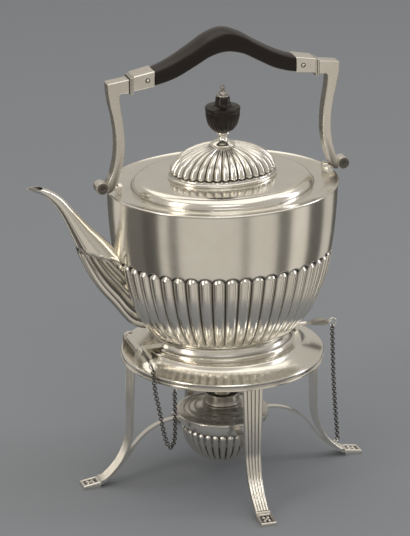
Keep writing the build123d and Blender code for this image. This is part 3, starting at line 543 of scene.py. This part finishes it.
# ---------------------------------------------------------------- bail handle
# Flat silver arms that roll outwards at the foot turn on pivots in the rim's ears. At the top
# they end in tapered ferrules with square collars, riveted through the shaped ebony grip.
ARM_HALF = 4.5
ROUND = 48  # columns of points round a small turned piece
arm_outer = curve(
    [
        (80.8, 286.8), (80.3, 280.0), (78.8, 271.0), (76.6, 261.0), (75.2, 249.0), (75.5, 237.0),
        (77.6, 226.0), (80.2, 219.6),
    ],
    5,
)
arm_inner = curve(
    [
        (77.4, 212.2), (74.9, 216.2), (71.9, 224.5), (69.6, 237.0), (69.4, 249.0), (70.4, 260.0),
        (71.9, 270.0), (72.5, 278.0),
    ],
    5,
)
arm_side = np.vstack(
    [
        arm_outer, [(81.6, 216.0), (81.0, 211.2), (79.4, 210.9)], arm_inner,
        [(72.1, 279.5), (64.9, 279.6), (64.9, 289.2), (79.6, 287.3)],
    ]
)
arm_width = np.interp(arm_side[:, 1], [210.9, 214.0, 219.0, 224.0], [3.3, 3.3, 4.2, ARM_HALF])
# Painted shadow darkens the arm's lower end, where it curls into the scroll.
arm_painted_shadow = 0.85 * (1 - smooth_step(arm_side[:, 1], 213.0, 219.0))


def slab(outline, half_width, dark=0.0):
    """An upright plate: an outline in X and Z at plus and minus half_width in Y, walled between."""
    n = len(outline)
    wide = np.broadcast_to(np.asarray(half_width, float), n)
    near = np.stack([outline[:, 0], -wide, outline[:, 1]], -1)
    far = np.stack([outline[:, 0], wide, outline[:, 1]], -1)
    i = np.arange(n)
    after = (i + 1) % n
    walls = np.stack([i, after, n + after, n + i], -1).tolist()
    faces = walls + [i[::-1].tolist(), (i + n).tolist()]
    return np.vstack([near, far]), faces, np.tile(np.broadcast_to(dark, n), 2)


def turned_across(half_profile, half_dark, x, z, columns=ROUND):
    """A round shape about an axis along Y at x, z: (radius, y) points and the same mirrored."""
    profile = half_profile + [(r, -y) for r, y in half_profile[::-1]]
    points, faces, _ = turned(profile, columns)
    dark = np.repeat(np.array(half_dark + half_dark[::-1])[:, None], columns, 1)
    return np.stack([points[..., 0] + x, points[..., 2], z - points[..., 1]], -1), faces, dark


def join(*parts):
    """Several (points, faces, painted shade and oxide) sets as one, each part's faces counted on
    from the last.
    """
    points, faces, shade_and_oxide, start = [], [], [], 0
    for part_points, part_faces, part_hollow in parts:
        flat = np.reshape(part_points, (-1, 3))
        points.append(flat)
        faces += [[i + start for i in face] for face in part_faces]
        shade_and_oxide.append(np.broadcast_to(np.ravel(part_hollow), len(flat)))
        start += len(flat)
    return np.vstack(points), faces, np.concatenate(shade_and_oxide)


def right_side(shape):
    """The shape as it is made, on the right."""
    return shape


def other_side(shape):
    """The same shape turned half round the kettle's axis: X and Y change sign."""
    points, faces, shade_and_oxide = shape
    return np.asarray(points).reshape(-1, 3) * (-1, -1, 1), faces, shade_and_oxide


roll = [(POLE, -4.0), (1.4, -4.0), (1.7, -4.35), (3.5, -4.4), (4.1, -4.1), (4.2, -3.5)]
# Painted shade darkens the roll's end faces and their recessed centres.
roll_painted_shade = [0.88, 0.88, 0.85, 0.8, 0.2, 0.0]
curl = [(POLE, -2.5), (0.9, -2.3), (1.2, -1.9)]
scroll = join(
    turned_across(roll, roll_painted_shade, 84.7, 214.9), turned_across(curl, [0.0] * 3, 77.7, 212.7)
)
rivet_head = [(POLE, -7.8), (0.6, -7.7), (1.0, -7.4), (1.1, -7.2), (1.6, -7.25), (1.8, -6.9)]
# Painted shade darkens the groove that rings each rivet head.
rivet_painted_shade = [0.0, 0.0, 0.3, 1.0, 1.0, 0.6]
rivet = turned_across(rivet_head, rivet_painted_shade, 54.0, 288.0, 32)
ferrule_side = np.array([(49.0, 283.4), (63.6, 281.1), (63.6, 291.4), (49.0, 294.1)])
# The gap piece is a dark slab, narrower than the collar bands, that is painted shade in the gap
# between them.
gap_side = np.array([(64.2, 279.3), (66.1, 279.3), (66.1, 289.7), (64.2, 289.7)])
for side, flip in (("right", right_side), ("left", other_side)):
    piece(
        f"bowed_arm_{side}", flip(slab(arm_side, arm_width, arm_painted_shadow)),
        worn_silver, "handle", f"handle_arm_{side}", bevel=0.7,
    )
    piece(f"scroll_{side}", flip(scroll), worn_silver, "handle", sharp=30)
    piece(
        f"ferrule_{side}", flip(slab(ferrule_side, [7.4, 6.6, 6.6, 7.4])),
        worn_silver, "handle", f"grip_ferrule_{side}", bevel=0.9,
    )
    for x in (63.4, 64.7):
        band_side = np.array([(x, 278.8), (x + 0.9, 278.8), (x + 0.9, 290.4), (x, 290.4)])
        piece(
            f"collar_{side}_{x}", flip(slab(band_side, 5.9)), worn_silver, "handle", bevel=0.3
        )
    # A dark slab between the collar bands stands in for the shade in their gap.
    piece(f"collar_gap_shade_{side}", flip(slab(gap_side, 5.2, 0.9)), worn_silver, "handle")
piece("rivets", join(rivet, other_side(rivet)), worn_silver, "handle", "grip_rivets", sharp=40)

GRIP_CUTS = [
    # x, low, high, width
    (0.0, 302.4, 317.0, 20.0),
    (11.0, 300.2, 313.7, 20.0),
    (21.5, 294.6, 307.3, 19.2),
    (33.0, 288.2, 300.8, 17.2),
    (42.0, 285.0, 296.6, 15.8),
    (49.0, 283.4, 294.1, 14.9),
]
grip_line = curve([(-x, low, high, w) for x, low, high, w in GRIP_CUTS[:0:-1]] + GRIP_CUTS, 8)
grip_section = curve(
    [
        (-0.5, 0.08), (-0.47, 0.3), (-0.4, 0.42), (0.0, 0.5), (0.4, 0.42), (0.47, 0.3),
        (0.5, 0.08), (0.5, -0.28), (0.42, -0.46), (0.0, -0.5), (-0.42, -0.46), (-0.5, -0.28),
        (-0.5, 0.08),
    ],
    4,
)[:-1]
x, low, high, width = grip_line.T[..., None]
y, up = grip_section.T
grip_points = np.stack(
    np.broadcast_arrays(x, width * y, (low + high) / 2 + (high - low) * up), -1
)
grip_faces = [face[::-1] for face in skin(len(grip_line), len(grip_section), caps=True)]
piece("shaped_grip", (grip_points, grip_faces, 0.0), ebony, "handle", "grip", sharp=50)

# ---------------------------------------------------------------- stand ring
# A stepped silver band under a hollow collar, spun from sheet.
# The collar rises to the flat seat that the kettle's foot stands on.
RING_COLUMNS = 200
ring_profile = np.vstack(
    [
        [
            (64.3, 85.5), (68.5, 85.5), (68.8, 85.8), (68.8, 86.5), (68.3, 86.8), (68.1, 87.4),
            (68.1, 88.6), (68.3, 89.0), (68.8, 89.3), (68.9, 89.8), (68.6, 90.3), (67.9, 90.5),
        ],
        curve([(67.0, 90.7), (62.8, 91.5), (58.9, 92.7), (55.6, 94.8), (53.4, 97.2)], 5),
        [
            (52.8, 97.45), (37.4, 97.45), (37.0, 97.2), (37.0, 95.3), (38.2, 95.3), (38.2, 96.3),
            (52.4, 96.3), (58.0, 91.6), (64.3, 89.1), (64.3, 85.5),
        ],
    ]
)
# Painted shade darkens the step between the band's two beads.
in_step = (ring_profile[:, 0] > 67.9) & (np.abs(ring_profile[:, 1] - 87.9) < 0.8)
ring_painted_shade = np.repeat(np.where(in_step, 0.35, 0.0)[:, None], RING_COLUMNS, 1)
piece(
    "ring", turned(ring_profile, RING_COLUMNS, ring_painted_shade),
    polished_silver, "stand", "stand_ring", sharp=40,
)

# ---------------------------------------------------------------- legs and feet
# Each leg is a reeded silver strip, soldered inside the band and bent out to its foot.
# The foot is a square pad with a sunk four-petalled rosette, joined to the leg by a small roll.
LEG_SIDES = {"right": 0, "back": 90, "left": 180, "front": 270}
LEG_KNEE = (67.5, 41.0)
LEG_CURVE = 42.7
LEG_THICK = 2.6
REEDS = 5
PER_REED = 10
bend = np.radians(np.linspace(180, 238.7, 26))
shin = np.linspace((66.8, 85.4), LEG_KNEE, 12)[:-1]
instep_r = LEG_KNEE[0] + LEG_CURVE + LEG_CURVE * np.cos(bend)
instep_z = LEG_KNEE[1] + LEG_CURVE * np.sin(bend)
leg_way = np.vstack([shin, np.stack([instep_r, instep_z], -1)])
leg_step = np.gradient(leg_way, axis=0)
leg_normal = np.stack([-leg_step[:, 1], leg_step[:, 0]], -1)
leg_normal /= np.linalg.norm(leg_normal, axis=1, keepdims=True)
leg_half = np.interp(leg_way[:, 1], [2.0, 12.0, 85.5], [4.75, 4.75, 7.0])
across = np.linspace(-1, 1, REEDS * PER_REED + 1)
reed_phase = ((across + 1) / 2 * REEDS % 1) * 2 - 1
reed_phase[-1] = 1
reed = np.sqrt(np.clip(1 - reed_phase**2, 0, 1)) - 1.0
# Painted shade darkens the grooves between the reeds, and less so the strip's two edges.
reed_painted_shade = np.exp(-(((np.abs(reed_phase) - 1) / 0.12) ** 2)) * 0.85
reed_painted_shade[[0, -1]] = 0.2
section_across = np.concatenate([across, [1.0, -1.0]])
section_up = np.concatenate([reed, [-LEG_THICK, -LEG_THICK]])
leg_points = np.stack(
    [
        leg_way[:, :1] + leg_normal[:, :1] * section_up,
        leg_half[:, None] * section_across,
        leg_way[:, 1:] + leg_normal[:, 1:] * section_up,
    ],
    -1,
)
leg_shape = (
    leg_points, skin(len(leg_way), len(section_across), caps=True),
    np.tile(np.concatenate([reed_painted_shade, [0, 0]]), (len(leg_way), 1)),
)
PAD_SIDE = 41  # points along a side of the pad
PAD_R, PAD_Z, PAD_FALL = 94.4, 3.75, 1.0
PAD_HALF_LENGTH, PAD_HALF_WIDTH = 6.1, 5.3
PAD_SUNK, PETAL_RISE, BUTTON_RISE = 0.9, 0.75, 0.6
s, t = np.meshgrid(np.linspace(-1, 1, PAD_SIDE), np.linspace(-1, 1, PAD_SIDE), indexing="ij")
edge = np.maximum(np.abs(s), np.abs(t))
radius, turn = np.hypot(s, t), np.arctan2(t, s)
lobes = np.clip(np.cos(2 * (turn - np.pi / 4)) ** 2 * 1.5 - 0.35, 0, 1)
petal = np.clip(1 - ((radius - 0.36) / 0.3) ** 2, 0, 1) * lobes
button = np.clip(1 - (radius / 0.15) ** 2, 0, 1)
sunk = 1 - smooth_step(edge, 0.66, 0.76)
pad_up = -PAD_SUNK * sunk + PETAL_RISE * petal + BUTTON_RISE * button
pad_up -= 0.5 * smooth_step(edge, 0.93, 1.0) ** 2
# Painted shade darkens the sunk field round the rosette, but not its petals and button.
pad_painted_shade = np.clip(sunk * (1 - np.clip(petal + button, 0, 1)) * 0.9, 0, 1)
pad_top = np.stack(
    [PAD_R + PAD_HALF_LENGTH * s, PAD_HALF_WIDTH * t, PAD_Z - PAD_FALL * s + pad_up], -1
)
order = np.arange(PAD_SIDE**2).reshape(PAD_SIDE, PAD_SIDE)
rim = np.concatenate([order[:, 0], order[-1, 1:], order[-2::-1, -1], order[0, -2:0:-1]])
under = np.arange(len(rim)) + order.size
pad_under = pad_top.reshape(-1, 3)[rim] * (1, 1, 0)
pad_faces = [face[::-1] for face in skin(PAD_SIDE, PAD_SIDE, wrap=False)]
pad_faces += np.stack([under, np.roll(under, -1), np.roll(rim, -1), rim], -1).tolist()
pad_faces.append(under.tolist())
pad_shape = (
    np.vstack([pad_top.reshape(-1, 3), pad_under]), pad_faces,
    np.concatenate([pad_painted_shade.ravel(), np.zeros(len(rim))]),
)
heel_side = np.array(
    [(86.0, 4.2), (86.4, 5.9), (87.9, 5.5), (88.6, 3.9), (88.0, 2.2), (86.6, 2.4)]
)


def around(shape, degrees):
    """The shape turned about the kettle's axis."""
    points, faces, shade_and_oxide = shape
    c, s = math.cos(math.radians(degrees)), math.sin(math.radians(degrees))
    x, y, z = np.asarray(points).reshape(-1, 3).T
    return np.stack([x * c - y * s, x * s + y * c, z], -1), faces, shade_and_oxide


for side, degrees in LEG_SIDES.items():
    piece(
        f"reeded_leg_{side}", around(leg_shape, degrees),
        polished_silver, "stand", f"leg_{side}", sharp=60,
    )
    piece(
        f"foot_pad_{side}", around(pad_shape, degrees),
        polished_silver, "stand", f"foot_{side}", sharp=60,
    )
    piece(
        f"heel_roll_{side}", around(slab(heel_side, 5.1), degrees),
        polished_silver, "stand", bevel=0.35,
    )

# ---------------------------------------------------------------- spirit lamp
# A ribbed silver bowl hangs in its ring by a flange. The spun cover has raised rings and
# carries the burner, a plain collar with a bead, with a cotton wick inside.
LAMP_RIBS = 32
LAMP_RELIEF, LAMP_GROOVE = 1.9, 1.2
LAMP_RIB_END, LAMP_DOME = 33.2, 2.6
lamp_columns = LAMP_RIBS * 12
lamp_turns = np.arange(lamp_columns) / lamp_columns * 2 * np.pi
lamp_r, lamp_z = curve(
    [
        (5.0, 10.9), (10.0, 11.6), (15.5, 13.6), (20.0, 17.2), (23.6, 22.0), (26.0, 27.5),
        (27.3, 33.0), (27.9, 37.5), (28.1, 41.0),
    ],
    6,
).T
past = (lamp_z[:, None] - LAMP_RIB_END) / LAMP_DOME
height, shade_and_oxide = ribs(rib_phase(lamp_columns, LAMP_RIBS)[None], past, LAMP_RELIEF, LAMP_GROOVE)
lamp_fade = smooth_step(lamp_r, 6.0, 20.0)[:, None]
lamp_out = raised(oval(lamp_r, lamp_r, lamp_z, lamp_turns), height * lamp_fade)
lamp_rest = np.array(
    [
        (28.3, 43.6), (31.3, 43.6), (31.5, 43.8), (31.5, 44.7), (31.3, 44.9), (27.3, 44.9),
        (27.2, 38.0), (25.2, 27.5), (20.5, 19.5), (12.0, 13.6), (POLE, 11.8),
    ]
)
lamp_in = oval(lamp_rest[:, 0], lamp_rest[:, 0], lamp_rest[:, 1], lamp_turns)
lamp_grid = np.vstack([oval([POLE], [POLE], [10.6], lamp_turns), lamp_out, lamp_in])
# Painted shade darkens the grooves between the lamp's ribs, fading out towards the bottom.
lamp_painted_shade = np.zeros(lamp_grid.shape[:2])
lamp_painted_shade[1 : 1 + len(lamp_out)] = shade_and_oxide * lamp_fade
piece(
    "ribbed_lamp", (lamp_grid, skin(len(lamp_grid), lamp_columns), lamp_painted_shade),
    polished_silver, "lamp", "lamp_bowl", sharp=60,
)
cover = [
    (27.0, 44.2), (27.0, 44.9), (31.3, 44.9), (31.5, 45.1), (31.4, 45.6), (31.0, 45.8),
    (29.4, 45.8), (29.1, 46.1), (28.5, 46.3), (27.9, 46.1), (27.6, 45.7), (25.0, 45.3),
    (24.5, 45.6), (24.1, 46.3), (23.3, 46.6), (22.5, 46.4), (20.4, 46.9), (20.0, 47.5),
    (19.2, 47.7), (18.4, 47.6), (15.6, 48.5), (14.6, 49.3), (13.8, 49.8), (12.2, 49.8),
    (12.2, 48.8), (24.3, 44.2), (27.0, 44.2),
]
# The cover is painted a little dark all over as the shade it sits in under the kettle.
piece("stepped_cover", turned(cover, 120, 0.3), polished_silver, "lamp", "lamp_cover", sharp=50)
burner = [
    (11.1, 45.8), (12.1, 45.8), (12.1, 49.8), (13.2, 49.8), (13.6, 50.1), (13.6, 50.8),
    (13.2, 51.1), (12.1, 51.2), (11.9, 51.6), (11.9, 57.0), (12.1, 57.3), (12.1, 57.9),
    (11.8, 58.2), (11.1, 58.2), (11.1, 51.0), (5.06, 51.0), (5.06, 49.8), (11.1, 49.8),
    (11.1, 45.8),
]
# The burner is painted dark all over as the shade it sits in under the kettle.
piece("burner", turned(burner, dark=0.4), worn_silver, "burner", "burner_head", sharp=50)
# The wick is woven cotton, cream and quite matt; its weave is too fine to show.
cotton, _ = new_material("cotton_wick", Roughness=0.95, Base_Color=linear("CFC6B2"))
wick_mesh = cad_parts["wick"].data
wick_mesh.materials.clear()
wick_mesh.materials.append(cotton)

# ---------------------------------------------------------------- pin heads
# The hinge pin and the lock pin are silver rods. Each ends in a cast leaf with feathered lines,
# with an eye at its tip for the ring that hangs it on its chain.
LEAF_LENGTH = 16.8
LEAF_EYE_R, LEAF_EYE_WIRE = 1.6, 0.42
HINGE = (-62.0, 100.2)
HINGE_LEAF_Y = -19.0
HINGE_LEAF_BREADTH = 1.12
LOCK_LEAF_X = 60.02
leaf_tilt = math.radians(64)
along = np.linspace(0, 1, 45)
leaf_edge = curve(
    [
        (0.0, 1.6), (0.12, 2.1), (0.3, 4.2), (0.5, 6.4), (0.68, 7.4), (0.8, 5.9), (0.9, 3.2),
        (1.0, 1.5),
    ],
    10,
)
leaf_half = np.interp(along, leaf_edge[:, 0], leaf_edge[:, 1])[:, None]
leaf_across = np.linspace(-1, 1, 29)[None]
feathered = smooth_step(along, 0.15, 0.3)[:, None]
feather = np.sin((along[:, None] * LEAF_LENGTH + np.abs(leaf_across) * leaf_half * 0.9) * 3.1)
leaf_rise = np.sqrt(np.clip(1 - leaf_across**2, 0, 1)) ** 0.6
leaf_thick = leaf_rise * (0.5 + 0.3 * feather * feathered)
# The leaf is painted half dark as shade, and darker still in the troughs between its feathers.
leaf_painted_shade = 0.5 + np.clip(-feather, 0, 1) * 0.5 * feathered


def circle(centre, x, y, radius, count=28):
    """Points round a centre: x times the cosine and y times the sine of each turn."""
    turns = np.arange(count)[:, None] / count * 2 * np.pi
    return np.array(centre) + radius * (np.cos(turns) * np.array(x) + np.sin(turns) * np.array(y))


def wire(way, radius, side, closed=False, columns=8):
    """Round wire: circles across each step of a way, joined row to row. The circles' first
    direction is the step crossed with side, a direction that the way never takes."""
    way = np.array(way, float)
    step = (np.roll(way, -1, 0) - np.roll(way, 1, 0)) if closed else np.gradient(way, axis=0)
    step /= np.linalg.norm(step, axis=1, keepdims=True)
    u = np.cross(step, np.array(side, float))
    u /= np.linalg.norm(u, axis=1, keepdims=True)
    v = np.cross(step, u)
    turns = (np.arange(columns) / columns * 2 * np.pi)[None, :, None]
    grid = way[:, None] + radius * (u[:, None] * np.cos(turns) + v[:, None] * np.sin(turns))
    if not closed:
        return grid, skin(len(way), columns, caps=True), 0.0
    faces = np.array(skin(len(way) + 1, columns)) % (len(way) * columns)
    return grid, faces.tolist(), 0.0


def leaf(start, outward, normal, breadth=1.0):
    """A feathered leaf from start along outward, thick by leaf_thick to both sides of its flat
    middle, which faces normal, with an eye of wire at its tip."""
    start, outward, normal = (np.array(v, float) for v in (start, outward, normal))
    sideways = np.cross(normal, outward)
    lengthways = outward * (along[:, None, None] * LEAF_LENGTH)
    flat = start + lengthways + sideways * (breadth * leaf_half * leaf_across)[..., None]
    thick = normal * leaf_thick[..., None]
    ring = np.concatenate([flat + thick, (flat - thick)[:, ::-1]], 1)
    dark = np.concatenate([leaf_painted_shade, leaf_painted_shade[:, ::-1]], 1)
    faces = [face[::-1] for face in skin(len(along), ring.shape[1], caps=True)]
    eye = circle(start + outward * LEAF_LENGTH, outward, sideways, LEAF_EYE_R)
    return join((ring, faces, dark), wire(eye, LEAF_EYE_WIRE, normal, closed=True))


piece(
    "hinge_pin_leaf",
    leaf(
        (HINGE[0], HINGE_LEAF_Y, HINGE[1]), (0, -1, 0),
        (math.sin(leaf_tilt), 0, math.cos(leaf_tilt)), HINGE_LEAF_BREADTH,
    ),
    worn_silver, "hinge_pin", "hinge_pin_head", sharp=60,
)
piece(
    "lock_pin_leaf", leaf((LOCK_LEAF_X, 0, HINGE[1]), (1, 0, 0), (0, 0, 1)),
    worn_silver, "lock_pin", "lock_pin_head", sharp=60,
)

# ---------------------------------------------------------------- chains
# Each chain is silver wire rings threaded through each other, from a staple on the stand to the
# ring of its pin. The left one droops between them; the right one hangs nearly straight.
LINK_R, LINK_WIRE, LINK_PITCH = 1.3, 0.35, 1.83
RING_R, RING_WIRE = 2.75, 0.42
LOOP_R, LOOP_WIRE, LOOP_LEG = 1.8, 0.4, 1.4
HOOK = LINK_R - LINK_WIRE - 0.05
BAND_LOW = 85.5
ring_tilt, ring_droop = math.radians(50), math.radians(25)
# Oxidised wire is grey-brown and dull, as chains are rarely polished.
oxidised_wire, _ = new_material(
    "oxidised_silver_wire", Metallic=1.0, Roughness=0.3, Base_Color=linear("5C5955")
)


def links(way, odd):
    """Links at even steps along a way; every second one lies across Y."""
    way = np.array(way, float)
    steps = np.linalg.norm(np.diff(way, axis=0), axis=1)
    lengths = np.concatenate([[0], np.cumsum(steps)])
    count = 2 * round(lengths[-1] / LINK_PITCH / 2) + odd

    def spot(s):
        """The point at length s along the way."""
        return np.array([np.interp(s, lengths, way[:, k]) for k in range(3)])

    made = []
    for i in range(count):
        s = lengths[-1] * i / (count - 1)
        run = spot(s + 0.4) - spot(s - 0.4)
        run /= np.linalg.norm(run)
        across_y = np.array([0, 1, 0]) - run * run[1]
        across_y /= np.linalg.norm(across_y)
        axis = across_y if i % 2 else np.cross(run, across_y)
        link = circle(spot(s), run, np.cross(axis, run), LINK_R, 14)
        made.append(wire(link, LINK_WIRE, axis, closed=True, columns=6))
    return made


hinge_ring = np.array(
    [
        HINGE[0] + RING_R * math.cos(ring_tilt), HINGE_LEAF_Y - LEAF_LENGTH,
        HINGE[1] - RING_R * math.sin(ring_tilt),
    ]
)
left_top = hinge_ring - (0, 0, RING_R - RING_WIRE + HOOK)
left_end = (-48.4, -45.6, BAND_LOW - LOOP_LEG - LOOP_R + LOOP_WIRE - HOOK)
LEFT_WAY = [
    (-59.5, -38.0, 80.0), (-57.2, -40.5, 66.0), (-54.2, -42.8, 48.0), (-51.2, -44.2, 41.0),
    (-48.4, -45.2, 47.0), (-48.1, -45.5, 64.0),
]
left_links = links(curve([left_top] + LEFT_WAY + [left_end], 16), 1)
low_link = min(range(len(left_links)), key=lambda i: left_links[i][0][..., 2].mean())
pin_strand = piece(
    "chain_left_pin", join(*left_links[:low_link]), oxidised_wire, None, "left_chain", sharp=60
)
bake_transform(pin_strand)
piece("chain_left_loop", join(*left_links[low_link:]), oxidised_wire, "stand", sharp=60)

lock_ring = np.array(
    [
        LOCK_LEAF_X + LEAF_LENGTH + RING_R * math.cos(ring_droop), 0,
        HINGE[1] - RING_R * math.sin(ring_droop),
    ]
)
right_top = lock_ring - (0, 0, RING_R - RING_WIRE + HOOK)
ANKLE_R = 82.0
ankle_in = LEG_KNEE[0] + LEG_CURVE - ANKLE_R
ankle_drop = math.sqrt(LEG_CURVE**2 - ankle_in**2)
ankle = np.array([ANKLE_R, 0, LEG_KNEE[1] - ankle_drop])
ankle_out = np.array([ankle_in, 0, ankle_drop]) / LEG_CURVE
right_end = ankle + ankle_out * (LOOP_LEG + LOOP_R + 0.05) + (0, 0, HOOK - LOOP_WIRE)
right_way = curve([right_top, (right_top + right_end) / 2 - (0.8, 0, 0), right_end], 30)
right_chain = piece(
    "chain_right", join(*links(right_way, 0)), oxidised_wire, None, "right_chain", sharp=60
)
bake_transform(right_chain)

# ---------------------------------------------------------------- floor, light and camera
# A plain matt grey floor under soft studio light: a big overhead box, side strips, a front fill.
# The floor has no gloss, so that it mirrors none of the cards that stand in for a room.
FLOOR_X, FLOOR_NEAR, FLOOR_FAR = 6, -4, 12
floor_mesh = bpy.data.meshes.new("floor")
floor_mesh.from_pydata(
    [
        (-FLOOR_X, FLOOR_NEAR, 0), (FLOOR_X, FLOOR_NEAR, 0), (FLOOR_X, FLOOR_FAR, 0),
        (-FLOOR_X, FLOOR_FAR, 0),
    ],
    [], [(0, 1, 2, 3)],
)
floor_look, _ = new_material(
    "floor", Roughness=0.9, Specular_IOR_Level=0.0, Base_Color=linear("868A90")
)
floor_mesh.materials.append(floor_look)
floor = bpy.data.objects.new("floor", floor_mesh)
bpy.context.collection.objects.link(floor)


def area_light(name, place, target, width, height, power, colour="FFFFFF"):
    """A rectangular light at a place, turned towards a target."""
    data = bpy.data.lights.new(name, "AREA")
    data.shape = "RECTANGLE"
    data.size, data.size_y, data.energy = width, height, power
    data.color = linear(colour)[:3]
    light = bpy.data.objects.new(name, data)
    light.location = place
    light.rotation_euler = (Vector(target) - Vector(place)).to_track_quat("-Z", "Y").to_euler()
    bpy.context.collection.objects.link(light)


middle = (0, 0, 0.15)
area_light("overhead", (0.15, 0.25, 1.7), middle, 2.5, 2.0, 15, "FFFAF2")
area_light("left strip", (-1.5, -0.7, 0.9), middle, 0.45, 1.4, 8, "FFF6EA")
area_light("right strip", (1.6, -0.3, 0.8), middle, 0.3, 1.3, 6, "F4F7FF")
area_light("front fill", (-0.2, -2.6, 2.2), middle, 1.6, 1.1, 10, "FFFFFF")

# Light and dark cards lie round the kettle and show only in what the silver mirrors.
CARDS = [
    # from, to in degrees round the kettle, and brightness
    (-180, -160, 0.06), (-160, -150, 0.6), (-150, -140, 0.18), (-140, -84, 0.58),
    (-84, -77, 0.3), (-77, -52, 0.6), (-52, -38, 0.12), (-38, -18, 0.72), (-18, 6, 0.08),
    (6, 30, 0.55), (30, 62, 0.06), (62, 90, 0.45), (90, 125, 0.08), (125, 150, 0.6),
    (150, 180, 0.12),
]
CARD_NEAR, CARD_FAR, CARD_Z = 0.2, 2.5, 0.002
CARD_STEPS = 8
for number, (first, last, brightness) in enumerate(CARDS):
    fan = np.radians(np.linspace(first, last, CARD_STEPS))
    spread = np.stack([np.cos(fan), np.sin(fan), np.zeros(CARD_STEPS)], -1)
    card_points = np.vstack([spread * CARD_NEAR, spread * CARD_FAR]) + (KETTLE_X * MM, 0, CARD_Z)
    card_mesh = bpy.data.meshes.new(f"card_{number}")
    card_mesh.from_pydata(card_points.tolist(), [], skin(2, CARD_STEPS, wrap=False))
    glow, _ = new_material(
        f"card_{number}", Roughness=1.0, Base_Color=(0, 0, 0, 1),
        Emission_Color=linear("FFF9EE"), Emission_Strength=brightness,
    )
    card_mesh.materials.append(glow)
    card = bpy.data.objects.new(f"card_{number}", card_mesh)
    card.visible_camera = card.visible_diffuse = card.visible_shadow = False
    bpy.context.collection.objects.link(card)

world = bpy.data.worlds.new("studio")
world.use_nodes = True
sky = world.node_tree.nodes["Background"]
sky.inputs["Color"].default_value = linear("EBE5DC")
sky.inputs["Strength"].default_value = 0.62

CAMERA_FOCAL_PX = 3899
FRAME_WIDTH_PX, FRAME_LONG_PX = 410, 536
SENSOR_MM = 36
camera_data = bpy.data.cameras.new("camera")
camera_data.sensor_width = SENSOR_MM
camera_data.lens = CAMERA_FOCAL_PX * SENSOR_MM / FRAME_LONG_PX
camera_data.clip_end = 50
camera = bpy.data.objects.new("camera", camera_data)
right = Vector((0.95106, -0.30902, 0))
up = Vector((0.10973, 0.33773, 0.93483))
back = right.cross(up)
place = Matrix.Translation(((-770.6 + KETTLE_X) * MM, -2.3338, 1.0813))
camera.matrix_world = place @ Matrix((right, up, back)).transposed().to_4x4()
bpy.context.collection.objects.link(camera)
scene = bpy.context.scene
scene.world = world
scene.camera = camera
scene.render.resolution_x, scene.render.resolution_y = FRAME_WIDTH_PX, FRAME_LONG_PX
scene.view_settings.view_transform = "Standard"
scene.cycles.max_bounces = 10
